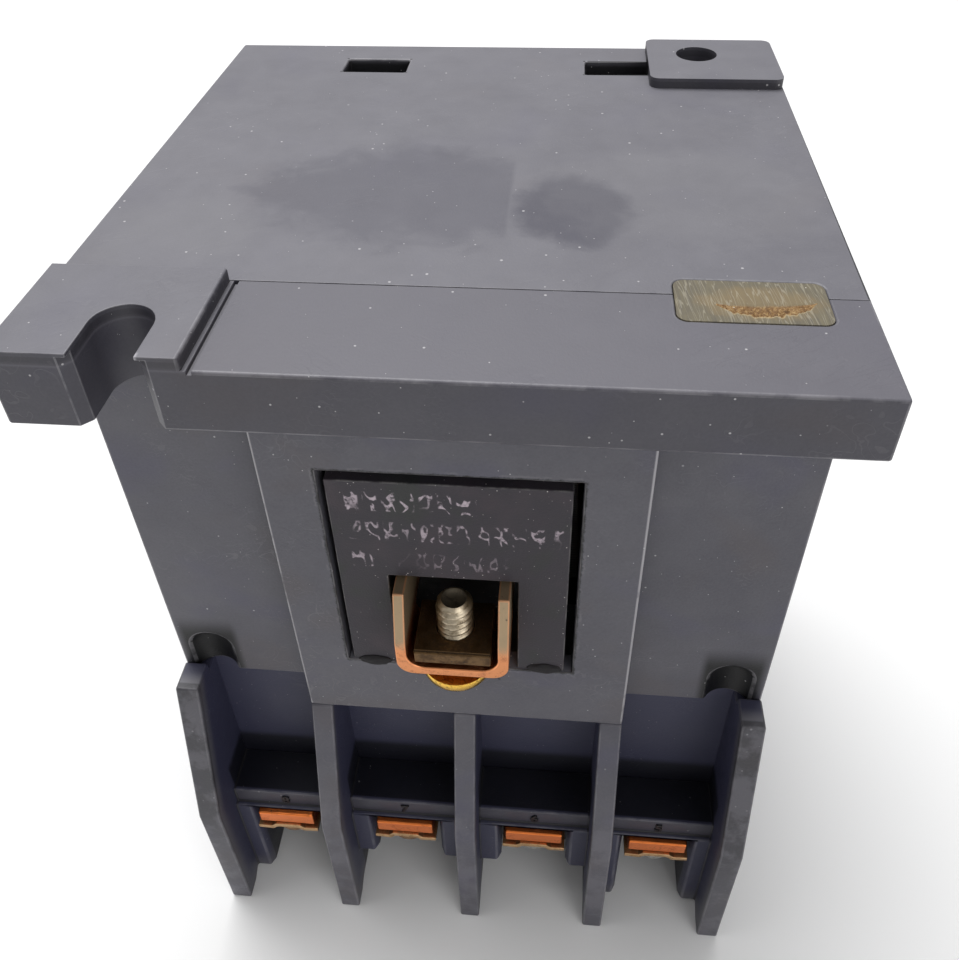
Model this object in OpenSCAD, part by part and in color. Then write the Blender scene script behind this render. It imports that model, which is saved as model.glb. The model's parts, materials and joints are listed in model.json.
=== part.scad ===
// Four-pole magnetic contactor with a screw-down base.
// It stands on the tips of its phase barriers, with the mounting face up.
// X runs across the poles, Y from the load terminals (-) to the line
// terminals (+), and Z from the front of the contactor to its mounting face.

/* [Base] */
// Width across the poles
base_w = 80; // [78:0.5:84]
// Length from the load edge to the line edge
base_d = 82; // [80:0.5:90]
// Height of the mounting face above the barrier tips
base_top = 114.5; // [113:0.5:118]
// Thickness of the base flange
flange_t = 7; // [6:0.5:9]
// Height of the two mounting pads above the mounting face
pad_h = 1.4; // [0.5:0.1:2.5]
// Distance of the seam from the load edge
seam_in = 14.7; // [13:0.1:16]
// Radius of the mounting hole
mount_r = 2.9; // [2.2:0.1:3.2]
// Half the width of the open mounting slot
slot_r = 3.1; // [2.4:0.1:3.4]

/* [Coil housing] */
// Half the length of the housing between its end walls
wall_y = 28.4; // [28:0.1:30]
// Half the length over the raised centre panels
panel_y = 32.2; // [31:0.1:33]
// Half the width of a centre panel
panel_x = 21.4; // [21:0.1:22]
// Height of the housing's lower edge
housing_z = 50.6; // [50:0.1:51]
// Wall thickness of the mouldings
wall_t = 2.8; // [2.4:0.1:3.2]

/* [Coil and magnet] */
// Distance that the armature travels
travel = 4.5; // [3:0.1:4.5]
// Half the stack thickness of the laminations
stack_y = 10.8; // [9:0.1:11]
// Half the width of the centre leg
leg_x = 6.3; // [5:0.1:6.4]
// Height of the fixed pole faces
pole_z = 75.6; // [74:0.1:77]

/* [Poles] */
// Distance of the two inner poles from the middle
pole_in = 10; // [9.8:0.1:10.2]
// Distance of the two outer poles from the middle
pole_out = 28.8; // [28.6:0.1:29.2]
// Half the width of a terminal pocket
pocket_x = 5.15; // [5.1:0.05:5.3]
// Height of the terminal bars' underside
bar_z = 18.6; // [18:0.1:19]
// Thickness of a terminal bar
bar_t = 2.6; // [2:0.1:2.8]
// Half the width of a terminal bar
bar_x = 4.4; // [3.8:0.1:4.5]
// Open gap between the contact tips
contact_gap = 3; // [2.5:0.1:3]

/* [Hidden] */
$fn = 48;

moulding = "#3c3c42";
coil_black = "#232326";
copper = "#c06a3c";
steel = "#8d8f93";
lamination = "#6f7175";
silver = "#d9dadc";
brass = "#c9a24a";

half_w = base_w / 2;
half_d = base_d / 2;
flange_z = base_top - flange_t;
load_edge = -half_d;
seam_y = load_edge + seam_in;

// The four poles from left to right, seen with the load terminals in front.
poles = [-pole_out, -pole_in, pole_in, pole_out];
// Terminal n sits on pole pole_of(n): 1 to 4 on the line side, 5 to 8 on the load side.
function pole_of(n) = n < 5 ? poles[4 - n] : poles[8 - n];
function side_of(n) = n < 5 ? 1 : -1;

// Mounting points
mount_x = 28.9;
slot_y = load_edge + 4.9;
hole_y = half_d - 6.1;
pad_x = 21.9;

// Contact block
block_y = 26.2;
guard_y = block_y + 0.05;
block_z = 2.4;
block_top = housing_z - 0.2;
ledge_y = 33;
ledge_z = bar_z + bar_t;
ledge_t = 3.7;
pillar_y = 33.8;
barrier_y = 38.8;
barrier_t = 3;
chamber_x = 6.6;
chamber_y = 16.5;
chamber_top = 25;
carrier_floor = 26.7;
terminal_y = 30.4;
bar_end_y = 34.6;
bar_inner_y = 6.8;
tip_y = 10.5;
assembly_x = (pole_in + pole_out) / 2;
assembly_y = 22;
assembly_r = 2;
cover_z = 0.6;
cover_spots = [[0, 13], [0, -13], [assembly_x, 0], [-assembly_x, 0]];

// Magnet
outer_leg_in = 15;
outer_leg_out = 21.5;
yoke_x = 25.5;
yoke_z = 94;
yoke_t = 10;
armature_z = 44.5;
armature_t = 9;
armature_face = pole_z - travel - 0.1;
pin_z = 48.5;
pin_r = 2.5;
ear_y = 14.2;
rivet_x = 18.25;
rivet_z = yoke_z + 5;

// Coil; the case sits half a millimetre off the middle of its window.
coil_x = -0.5;
case_half = 13.6;
case_y = 32;
case_z = 60.4;
case_top = 93;
case_pocket_x = 7.7;
case_pocket_z = 77.5;
case_pocket_y = 23;
window_x = -0.3;
window_half = 14.5;
window_z = 60.4;
window_top = 94.5;
coil_screw_y = 32;
bracket_x = 6.9;
bracket_t = 1.36;
bracket_z = 64.3;
bracket_y = 36.4;
nut_z = 66.3;
nut_t = 2.5;
nut_y = 36.1;
coil_screw_r = 2.3;
coil_tip_z = 74;
coil_head_z = 59;
coil_head_top = 62.7;
coil_head_r = 4.7;

// Contacts
bridge_t = 1.5;
bridge_tip_t = 0.9;
fixed_tip_t = 1;
bridge_top = bar_z - fixed_tip_t - contact_gap - bridge_tip_t;
bridge_z = bridge_top - bridge_t;
stirrup_z = 2.8;
stirrup_t = 1.6;
post_x = 5.7;
post_y = 3.6;
beam_z = 27;
beam_top = 39;
beam_x = 35;
beam_y = 4.4;
spring_x = 30.5;
spring_seat = 36;

// Terminal clamp
plate_top = bar_z - 0.2;
plate_t = 0.8;
wing_drop = 0.7;
plate_x = 4.8;
screw_r = 1.75;
head_r = 3.6;
head_z = 12.5;

module both_ends() {
  children();
  mirror([0, 1, 0]) children();
}

module both_sides() {
  children();
  mirror([1, 0, 0]) children();
}

// A box between two corners
module block(a, b) {
  translate(a) cube(b - a);
}

module bore(x, y, z0, z1, r) {
  translate([x, y, z0]) cylinder(r = r, h = z1 - z0);
}

// A round pin along Y, centred on the middle of the contactor
module cross_pin(x, z, r, half_length) {
  translate([x, 0, z])
    rotate([90, 0, 0])
      cylinder(r = r, h = 2 * half_length, center = true);
}

// A flat slab with rounded vertical corners
module rounded_slab(a, b, r) {
  union() {
    block([a[0] + r, a[1], a[2]], [b[0] - r, b[1], b[2]]);
    block([a[0], a[1] + r, a[2]], [b[0], b[1] - r, b[2]]);
    for (x = [a[0] + r, b[0] - r])
      for (y = [a[1] + r, b[1] - r])
        bore(x, y, a[2], b[2], r);
  }
}

// ---- Base and housing ----------------------------------------------------

module base_plate() {
  color(moulding)
  difference() {
    union() {
      block([-half_w, seam_y + 0.1, flange_z], [half_w, half_d, base_top]);
      rounded_slab([pad_x, hole_y - 9.6, base_top - 1], [half_w, half_d, base_top + pad_h], 1.3);
    }
    bore(mount_x, hole_y, flange_z - 1, base_top + pad_h + 1, mount_r);
    // Two latch windows near the line edge
    both_sides()
      block([13, 30.2, flange_z - 1], [22.2, 35.2, base_top + 1]);
    // Hollow over the magnet
    block([-34, -16, flange_z - 1], [34, 24, base_top - 3]);
    both_sides() both_ends()
      bore(assembly_x, assembly_y, flange_z - 1, base_top - 2, assembly_r);
  }
  // Bosses that take the assembly screws where the hollow would cut them
  color(moulding)
  both_sides()
    difference() {
      bore(assembly_x, assembly_y, flange_z, base_top - 2.5, 4);
      bore(assembly_x, assembly_y, flange_z - 1, base_top - 2, assembly_r);
    }
}

module open_slot() {
  bore(-mount_x, slot_y, flange_z - 1, base_top + pad_h + 1, slot_r);
  block([-mount_x - slot_r, load_edge - 1, flange_z - 1],
        [-mount_x + slot_r, slot_y, base_top + pad_h + 1]);
  // Eased corners of the mouth
  for (s = [-1, 1])
    translate([-mount_x + s * slot_r, load_edge, flange_z - 1])
      rotate(45) cube([1.4, 1.4, 2 * flange_t + 4], center = true);
}

module end_panels() {
  both_ends()
    block([-panel_x, block_y + 0.2, housing_z - 1.5], [panel_x, panel_y, flange_z]);
}

module screw_columns(z0, z1, r) {
  both_sides() both_ends() bore(assembly_x, assembly_y, z0, z1, r);
}

module coil_housing() {
  color(moulding)
  difference() {
    union() {
      difference() {
        union() {
          block([-half_w, -wall_y, housing_z], [half_w, wall_y, flange_z]);
          end_panels();
          block([-half_w, load_edge, flange_z], [half_w, seam_y, base_top]);
          block([-half_w, load_edge, base_top - 1], [-pad_x, seam_y, base_top + pad_h]);
        }
        // Main chamber and the hollows of the end panels
        block([-half_w + wall_t, -wall_y + wall_t, housing_z + 2.5],
              [half_w - wall_t, wall_y - wall_t, flange_z + 0.01]);
        block([-panel_x + wall_t, -panel_y + wall_t, housing_z + 2.5],
              [panel_x - wall_t, panel_y - wall_t, flange_z + 0.01]);
      }
      // Shoulders that carry the ends of the magnet yoke
      both_sides()
        block([outer_leg_out + 0.8, -14, yoke_z - 10], [half_w - 1, 14, yoke_z]);
      screw_columns(housing_z, flange_z, 3.9);
    }
    // Opening for the armature
    block([-23.5, -15.5, housing_z - 1], [23.5, 15.5, housing_z + 3]);
    // Coil windows
    block([window_x - window_half, -panel_y - 1, window_z],
          [window_x + window_half, panel_y + 1, window_top]);
    // Notches in the window sills for the heads of the coil screws
    both_ends()
      bore(coil_x, coil_screw_y, coil_head_z - 0.8, window_z + 1, coil_head_r + 0.5);
    open_slot();
    screw_columns(housing_z - 1, flange_z + 1, assembly_r + 0.2);
    // Scoops at the lower corners of the end walls
    both_sides() both_ends() {
      bore(35.4, wall_y + 1.5, housing_z - 1, housing_z + 5, 3.3);
      translate([35.4, wall_y + 1.5, housing_z + 5]) sphere(r = 3.3);
    }
  }
}

// ---- Contact block -------------------------------------------------------

// Side view of an outer barrier, as distance from the middle and height
outer_barrier = [
  [guard_y, block_top], [wall_y + 0.1, block_top], [wall_y + 0.1, housing_z + 1.1],
  [32.9, housing_z + 1.1], [barrier_y, 27.2], [barrier_y, 0], [36, 0], [34.2, 1], [guard_y, 1]
];
inner_barrier = [
  [guard_y, housing_z - 1.7], [panel_y, housing_z - 1.7], [barrier_y, 26.9],
  [barrier_y, 0], [36, 0], [34.2, 1], [guard_y, 1]
];

module barrier(x0, x1, side_view) {
  translate([x0, 0, 0])
    rotate([90, 0, 90])
      linear_extrude(x1 - x0)
        polygon(side_view);
}

module barriers() {
  barrier(-barrier_t / 2, barrier_t / 2, inner_barrier);
  both_sides() {
    barrier(panel_x - barrier_t, panel_x, inner_barrier);
    barrier(half_w - barrier_t - 0.2, half_w, outer_barrier);
  }
}

// Plan of one terminal pocket with a flared mouth
module pocket_plan(x) {
  translate([x, 0])
    polygon([
      [-pocket_x, 21.5], [pocket_x, 21.5], [pocket_x, pillar_y - 1.2],
      [pocket_x + 1.1, pillar_y + 1], [-pocket_x - 1.1, pillar_y + 1], [-pocket_x, pillar_y - 1.2]
    ]);
}

// One guard: barriers, the ledge over the terminals and the pillars beside them
module terminal_guard() {
  difference() {
    union() {
      block([-half_w + 1, guard_y, ledge_z], [half_w - 1, ledge_y, ledge_z + ledge_t]);
      // The pillars of the outer poles reach lower
      block([-assembly_x, guard_y, 9.7], [assembly_x, pillar_y, ledge_z + 0.4]);
      both_sides()
        block([assembly_x, guard_y, 1], [half_w - 1, pillar_y, ledge_z + 0.4]);
      barriers();
    }
    for (x = poles) {
      translate([0, 0, -1]) linear_extrude(ledge_z + 1) pocket_plan(x);
      // Relief for the tip of the terminal screw
      bore(x, terminal_y, ledge_z - 1, ledge_z + 2.8, screw_r + 0.25);
    }
  }
}

module terminal_guards() {
  color(moulding) both_ends() terminal_guard();
}

module contact_block() {
  color(moulding)
  difference() {
    block([-half_w, -block_y, block_z], [half_w, block_y, block_top]);
    both_ends()
      for (x = poles)
        translate([0, 0, -1]) linear_extrude(ledge_z + 1) pocket_plan(x);
    // Arc chambers with the slots that the terminal bars pass through
    for (x = poles) {
      block([x - chamber_x, -chamber_y, block_z - 1], [x + chamber_x, chamber_y, chamber_top]);
      block([x - bar_x, -21.6, bar_z], [x + bar_x, 21.6, ledge_z]);
      block([x - post_x - 0.6, -post_y - 0.7, chamber_top - 1],
            [x + post_x + 0.6, post_y + 0.7, carrier_floor + 1]);
    }
    // Way of the contact carrier and room for the armature
    block([-beam_x - 0.6, -beam_y - 0.8, carrier_floor], [beam_x + 0.6, beam_y + 0.8, housing_z + 1]);
    block([-23.5, -15.5, 34], [23.5, 15.5, housing_z + 1]);
    screw_columns(block_z - 1, housing_z + 1, assembly_r + 0.2);
    screw_columns(block_z - 1, 9, 3.5);
    for (p = cover_spots) bore(p[0], p[1], block_z - 1, 12, 1.5);
  }
}

module arc_cover() {
  color(moulding)
  difference() {
    union() {
      rounded_slab([-36.5, -17.8, cover_z], [36.5, 17.8, block_z], 3);
      // Arc shields that stand in each chamber behind the bridge ends
      both_ends()
        for (x = poles)
          block([x - 6.2, 14.6, block_z - 0.5], [x + 6.2, 16.2, 10]);
    }
    for (p = cover_spots) {
      bore(p[0], p[1], cover_z - 1, block_z + 1, 1.5);
      translate([p[0], p[1], cover_z]) cylinder(r1 = 2.8, r2 = 1.5, h = 1.4);
    }
  }
}

module cover_screws() {
  for (p = cover_spots)
    difference() {
      union() {
        translate([p[0], p[1], cover_z]) cylinder(r1 = 2.8, r2 = 1.5, h = 1.4);
        bore(p[0], p[1], cover_z + 1.4, 11.5, 1.5);
      }
      translate([p[0], p[1], cover_z + 0.3]) cube([6, 0.8, 0.8], center = true);
    }
}

module assembly_screws() {
  both_sides() both_ends()
    difference() {
      union() {
        bore(assembly_x, assembly_y, 5.6, 9, 3.2);
        bore(assembly_x, assembly_y, 8.5, base_top - 3, assembly_r);
      }
      translate([assembly_x, assembly_y, 6]) cube([7, 1, 1.8], center = true);
    }
}

module case_screws() {
  color(steel) {
    cover_screws();
    assembly_screws();
  }
}

// ---- Magnet --------------------------------------------------------------

module magnet_core() {
  color(lamination)
  difference() {
    block([-yoke_x, -stack_y, pole_z], [yoke_x, stack_y, yoke_z + yoke_t]);
    both_sides() {
      block([leg_x, -stack_y - 1, pole_z - 1], [outer_leg_in, stack_y + 1, yoke_z]);
      block([outer_leg_out, -stack_y - 1, pole_z - 1], [yoke_x + 1, stack_y + 1, yoke_z]);
      // Slot in the pole face for the shading ring
      block([outer_leg_in - 1, 1.4, pole_z - 1], [outer_leg_out + 1, 2.6, pole_z + 2.2]);
      cross_pin(rivet_x, rivet_z, 1.5, stack_y + 1);
    }
  }
}

module core_rivets() {
  color(steel)
  both_sides() {
    cross_pin(rivet_x, rivet_z, 1.5, stack_y + 0.1);
    both_ends()
      translate([0, stack_y + 0.4, 0]) cross_pin(rivet_x, rivet_z, 2.6, 0.4);
  }
}

module shading_rings() {
  color(copper)
  both_sides()
    difference() {
      block([outer_leg_in - 0.8, 1.4, pole_z + 0.3], [outer_leg_out + 0.6, stack_y + 0.9, pole_z + 2.2]);
      block([outer_leg_in, 2.6, pole_z - 1], [outer_leg_out, stack_y, pole_z + 3]);
    }
}

module core_cushions() {
  color("#2b2b2b")
  both_sides()
    rounded_slab([7, -8, yoke_z + yoke_t], [20, 8, base_top - 3], 2);
}

module armature() {
  color(lamination)
  difference() {
    block([-outer_leg_out, -stack_y, armature_z], [outer_leg_out, stack_y, armature_face]);
    both_sides()
      block([leg_x, -stack_y - 1, armature_z + armature_t], [outer_leg_in, stack_y + 1, pole_z]);
    cross_pin(0, pin_z, pin_r, stack_y + 1);
  }
}

module armature_pin() {
  color(steel)
  cross_pin(0, pin_z, pin_r, ear_y);
}

// ---- Coil ----------------------------------------------------------------

module coil_tube(half_x, half_y, z0, z1) {
  block([-half_x, -half_y, z0], [half_x, half_y, z1]);
}

module coil_bobbin() {
  color("#c9bfa4")
  difference() {
    union() {
      coil_tube(8.3, 12.8, 61.4, 92);
      coil_tube(12.4, 16.9, 61.4, 62.6);
      coil_tube(12.4, 16.9, 90.8, 92);
    }
    coil_tube(7.2, 11.8, 60, 94);
  }
}

module coil_winding() {
  color("#8a4a26")
  difference() {
    coil_tube(11.8, 16.3, 62.6, 90.8);
    coil_tube(8.3, 12.8, 60, 94);
  }
}

// One end of the case: the pocket that the terminal bracket stands in
module case_pocket() {
  translate([coil_x, 0, 0]) {
    block([-case_pocket_x, -case_y - 1, case_z - 1], [case_pocket_x, -case_pocket_y, case_pocket_z]);
    // Seats of the bracket's two root tabs
    for (s = [-1, 1])
      translate([s * (bracket_x - bracket_t / 2), 0, 0])
        block([-bracket_t / 2, -case_pocket_y - 0.5, 68], [bracket_t / 2, -20.5, 74]);
  }
}

module coil_case() {
  color(coil_black)
  difference() {
    block([coil_x - case_half, -case_y, case_z], [coil_x + case_half, case_y, case_top]);
    coil_tube(12.45, 17, 61.3, 92.1);
    coil_tube(7.2, 11.8, 60, 94);
    both_ends() case_pocket();
  }
}

// The U of the bracket, seen from the load end, with rounded bends
module bracket_outline(grow) {
  r = 2.2;
  x = bracket_x - grow;
  z = bracket_z + grow;
  union() {
    translate([-x, z + r]) square([2 * x, case_pocket_z - 0.5 - z - r + grow]);
    translate([-x + r, z]) square([2 * x - 2 * r, r + 1]);
    for (s = [-1, 1]) translate([s * (x - r), z + r]) circle(r = r);
  }
}

module coil_bracket() {
  translate([coil_x, 0, 0])
  difference() {
    union() {
      translate([0, -28, 0])
        rotate([90, 0, 0])
          linear_extrude(bracket_y - 28)
            difference() {
              bracket_outline(0);
              bracket_outline(bracket_t);
            }
      // Root tabs that are moulded into the case
      for (s = [-1, 1])
        translate([s * (bracket_x - bracket_t / 2), 0, 0])
          block([-bracket_t / 2, -28.1, 68], [bracket_t / 2, -20.5, 74]);
    }
    bore(0, -coil_screw_y, bracket_z - 1, bracket_z + 3, coil_screw_r + 0.05);
    // The legs grow narrower towards their upper ends
    translate([0, -bracket_y, 70])
      rotate([-16, 0, 0])
        translate([0, -5, 5]) cube([20, 10, 14], center = true);
  }
}

module coil_nut() {
  translate([coil_x, -coil_screw_y, nut_z])
  difference() {
    block([-4.7, coil_screw_y - nut_y, 0], [4.7, 3.6, nut_t]);
    translate([0, 0, -1]) cylinder(r = coil_screw_r + 0.05, h = nut_t + 2);
  }
}

// Dome-headed screw; the head is a slice of a ball under a short rim
module coil_screw() {
  translate([coil_x, -coil_screw_y, 0])
  difference() {
    rotate_extrude()
      polygon([
        [0, coil_head_z], [1.8, coil_head_z + 0.15], [3.2, coil_head_z + 0.8],
        [4.2, coil_head_z + 1.8], [4.65, coil_head_z + 2.9], [coil_head_r, coil_head_top],
        [coil_screw_r, coil_head_top], [coil_screw_r, coil_tip_z - 0.6],
        [coil_screw_r - 0.6, coil_tip_z], [0, coil_tip_z]
      ]);
    translate([0, 0, coil_head_z]) cube([10.5, 1.2, 2.2], center = true);
  }
}

module coil_bracket_front() { color(copper) coil_bracket(); }
module coil_bracket_rear() { color(copper) mirror([0, 1, 0]) coil_bracket(); }
module coil_nut_front() { color("#4a3523") coil_nut(); }
module coil_nut_rear() { color("#4a3523") mirror([0, 1, 0]) coil_nut(); }
module coil_screw_front() { color(brass) coil_screw(); }
module coil_screw_rear() { color(brass) mirror([0, 1, 0]) coil_screw(); }

// ---- Carrier and moving contacts ----------------------------------------

module contact_carrier() {
  color("#5a4636")
  difference() {
    union() {
      block([-beam_x, -beam_y, beam_z], [beam_x, beam_y, beam_top]);
      // Table and ears that hold the armature
      block([-10, -ear_y, 36], [10, ear_y, armature_z]);
      both_ends()
        block([-6, stack_y + 0.3, armature_z - 1], [6, ear_y, 52]);
      for (x = poles)
        block([x - post_x, -post_y, stirrup_z], [x + post_x, post_y, beam_z + 1]);
    }
    // Windows that the bridges and their springs sit in
    for (x = poles)
      block([x - 4.2, -post_y - 1, stirrup_z + stirrup_t], [x + 4.2, post_y + 1, bridge_top + 0.1]);
    cross_pin(0, pin_z, pin_r, ear_y + 1);
    both_sides() bore(spring_x, 0, spring_seat, beam_top + 1, 3.6);
  }
}

module spring_tube(x, z0, z1, r, wire) {
  difference() {
    bore(x, 0, z0, z1, r);
    bore(x, 0, z0 - 1, z1 + 1, r - wire);
  }
}

module return_springs() {
  color(steel)
  both_sides() spring_tube(spring_x, spring_seat, housing_z, 3.2, 0.7);
}

module moving_bridge(x) {
  color(copper)
  block([x - 3.8, -13.6, bridge_z], [x + 3.8, 13.6, bridge_top]);
}

module bridge_tips(x) {
  color(silver)
  both_ends() bore(x, tip_y, bridge_top, bridge_top + bridge_tip_t, 2.4);
}

module contact_spring(x) {
  color(steel) spring_tube(x, stirrup_z + stirrup_t, bridge_z, 2.6, 0.6);
}

module fixed_tips() {
  color(silver)
  both_ends()
    for (x = poles) bore(x, tip_y, bar_z - fixed_tip_t, bar_z, 2.6);
}

// ---- Terminals -----------------------------------------------------------

// One terminal on the line side; the load side is its mirror image
module on_terminal(n) {
  mirror([0, side_of(n) < 0 ? 1 : 0, 0])
    translate([pole_of(n), 0, 0])
      children();
}

module terminal(n) {
  color(copper)
  on_terminal(n)
    difference() {
      union() {
        block([-bar_x, chamber_y, bar_z], [bar_x, bar_end_y, ledge_z]);
        block([-3.6, bar_inner_y, bar_z], [3.6, chamber_y + 1, ledge_z]);
      }
      bore(0, terminal_y, bar_z - 1, ledge_z + 1, screw_r + 0.05);
    }
}

// The clamp plate is a strip with a raised middle and two wings
module clamp_plate(n) {
  half_view = [
    [0, plate_top], [2, plate_top], [2.7, plate_top - wing_drop],
    [plate_x, plate_top - wing_drop + 0.15], [plate_x, plate_top - wing_drop - plate_t + 0.15],
    [2.4, plate_top - wing_drop - plate_t], [1.7, plate_top - plate_t], [0, plate_top - plate_t]
  ];
  color("#a98f6c")
  on_terminal(n)
    difference() {
      both_sides()
        translate([0, bar_end_y + 0.3, 0])
          rotate([90, 0, 0])
            linear_extrude(7.3) polygon(half_view);
      bore(0, terminal_y, plate_top - 4, plate_top + 2, screw_r + 0.05);
    }
}

module terminal_screw(n) {
  head_top = plate_top - wing_drop - plate_t;
  color(steel)
  on_terminal(n)
    translate([0, terminal_y, 0])
      difference() {
        rotate_extrude()
          polygon([
            [0, head_z], [1.6, head_z + 0.1], [2.7, head_z + 0.6], [3.4, head_z + 1.6],
            [head_r, head_z + 2.8], [head_r, head_top], [screw_r, head_top],
            [screw_r, ledge_z + 1.8], [screw_r - 0.5, ledge_z + 2.3], [0, ledge_z + 2.3]
          ]);
        translate([0, 0, head_z]) cube([8, 1, 2.4], center = true);
      }
}

base_plate();
coil_housing();
contact_block();
terminal_guards();
arc_cover();
case_screws();
magnet_core();
core_rivets();
shading_rings();
core_cushions();
coil_bobbin();
coil_winding();
coil_case();
coil_bracket_front();
coil_bracket_rear();
coil_nut_front();
coil_nut_rear();
coil_screw_front();
coil_screw_rear();
armature();
armature_pin();
contact_carrier();
return_springs();
fixed_tips();
for (i = [1:4]) {
  moving_bridge(poles[i - 1]);
  bridge_tips(poles[i - 1]);
  contact_spring(poles[i - 1]);
}
for (i = [1:8]) {
  terminal(i);
  clamp_plate(i);
  terminal_screw(i);
}
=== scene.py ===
"""Four-pole contactor, standing on its phase barriers with its base up.

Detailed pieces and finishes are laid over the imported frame. Lengths are in
metres; MM turns a size in millimetres into metres.
"""

import json
import math
import random

import bmesh
import bpy
from bpy.props import FloatProperty, FloatVectorProperty, IntProperty, PointerProperty
from mathutils import Matrix, Vector, noise


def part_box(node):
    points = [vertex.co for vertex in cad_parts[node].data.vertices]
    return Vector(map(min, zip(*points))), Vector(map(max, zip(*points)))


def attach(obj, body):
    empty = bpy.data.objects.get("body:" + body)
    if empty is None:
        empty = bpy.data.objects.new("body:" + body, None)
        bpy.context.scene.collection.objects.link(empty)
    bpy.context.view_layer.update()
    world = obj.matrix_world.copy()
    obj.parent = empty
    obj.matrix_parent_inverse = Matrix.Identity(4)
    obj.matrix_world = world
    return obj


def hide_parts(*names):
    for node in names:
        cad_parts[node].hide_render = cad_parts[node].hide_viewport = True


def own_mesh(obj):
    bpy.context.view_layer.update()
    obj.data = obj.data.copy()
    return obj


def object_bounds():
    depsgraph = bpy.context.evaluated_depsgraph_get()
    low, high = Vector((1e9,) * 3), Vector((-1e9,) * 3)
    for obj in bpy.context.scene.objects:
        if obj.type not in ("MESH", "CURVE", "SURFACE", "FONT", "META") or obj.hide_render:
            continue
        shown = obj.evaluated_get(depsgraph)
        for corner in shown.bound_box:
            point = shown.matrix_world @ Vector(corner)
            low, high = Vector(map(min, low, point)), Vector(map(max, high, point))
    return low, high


bl_info = {
    "name": "Four-pole contactor",
    "version": (1, 0, 0),
    "blender": (4, 5, 0),
    "location": "View3D > Sidebar > Contactor",
    "description": "Builds the detailed pieces and finishes of a four-pole contactor",
    "category": "Object",
}

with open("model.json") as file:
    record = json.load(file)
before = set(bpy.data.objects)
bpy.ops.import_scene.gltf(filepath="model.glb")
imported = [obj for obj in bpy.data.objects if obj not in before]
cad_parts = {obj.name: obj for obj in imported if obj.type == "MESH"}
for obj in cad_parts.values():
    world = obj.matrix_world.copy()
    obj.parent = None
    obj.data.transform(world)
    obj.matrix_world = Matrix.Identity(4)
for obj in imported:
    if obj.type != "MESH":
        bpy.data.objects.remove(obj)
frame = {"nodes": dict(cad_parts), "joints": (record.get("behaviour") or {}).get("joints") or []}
CAD_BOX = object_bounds()
MM = 0.001
MERGE = 0.002 * MM              # vertices closer than this are one
CREASE = math.radians(50)       # sharper folds stay sharp in lumpy pieces
BASE_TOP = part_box("base_plate")[1].z - 1.4 * MM
LOAD_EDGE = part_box("coil_housing")[0].y
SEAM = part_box("base_plate")[0].y
POLE_NUMBERS = range(1, 9)

# Places and sizes in millimetres
SCAR_X, SCAR_Y = 28.8, SEAM / MM - 0.9
BLOCK_END = 26.2                # half length of the contact block
BARRIER_FACE = 38.8             # outermost face of a barrier
BARRIER_BEND = 27.0             # height from which the face leans back
BARRIER_LEAN = 0.262
SIDE = 39.8                     # just inside the long sides
COIL_WINDOW = (-14.8, 14.2, 60.4, 94.5)
# Rows of worn ink: bottom, top, left, right and strength
INK_ROWS = ((88.5, 91.4, -12.3, 2.6, 1.0), (83.7, 86.7, -12.4, 12.6, 0.85),
            (79.0, 81.6, -12.4, -9.8, 0.8), (79.0, 81.6, -7.0, 6.2, 0.35))
INK_PITCH = 2.08
SPIKE = 1.6                     # longest reach of a rounding, in its own widths


def mm(*values):
    """A point given in millimetres, in metres."""
    return Vector(values) * MM


def paint(red, green, blue):
    """Linear colour of a paint chip given as 0 to 255 screen values."""
    def linear(value):
        value /= 255
        return value / 12.92 if value <= 0.04045 else ((value + 0.055) / 1.055) ** 2.4
    return linear(red), linear(green), linear(blue), 1.0


# ---- Node trees ----------------------------------------------------------


class Field:
    """An output of a material node that can be used in an expression."""

    def __init__(self, tree, socket):
        self.tree, self.socket = tree, socket

    def math(self, operation, *others):
        return self.tree.add("ShaderNodeMath", {"operation": operation},
                             dict(enumerate((self, *others))))

    def swapped(self, operation, other):
        return self.tree.add("ShaderNodeMath", {"operation": operation}, {0: other, 1: self})

    def other(self, name):
        """Another output of the same node."""
        return Field(self.tree, self.socket.node.outputs[name])

    def __add__(self, other):
        return self.math("ADD", other)

    __radd__ = __add__

    def __sub__(self, other):
        return self.math("SUBTRACT", other)

    def __rsub__(self, other):
        return self.swapped("SUBTRACT", other)

    def __mul__(self, other):
        return self.math("MULTIPLY", other)

    __rmul__ = __mul__

    def __truediv__(self, other):
        return self.math("DIVIDE", other)

    def __neg__(self):
        return self.math("MULTIPLY", -1.0)

    def __abs__(self):
        return self.math("ABSOLUTE")

    def __or__(self, other):
        """The larger of two masks."""
        return self.math("MAXIMUM", other)

    def clamped(self):
        return self.math("MINIMUM", 1.0).math("MAXIMUM", 0.0)

    def rising(self, low, high):
        """0 below low, 1 above high, and a smooth rise between them."""
        return self.tree.add("ShaderNodeMapRange", {"interpolation_type": "SMOOTHSTEP"},
                             {"Value": self, "From Min": low, "From Max": high})

    def falling(self, low, high):
        return 1.0 - self.rising(low, high)

    def between(self, low, high, soft):
        return self.rising(low - soft, low + soft) * self.falling(high - soft, high + soft)


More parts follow.
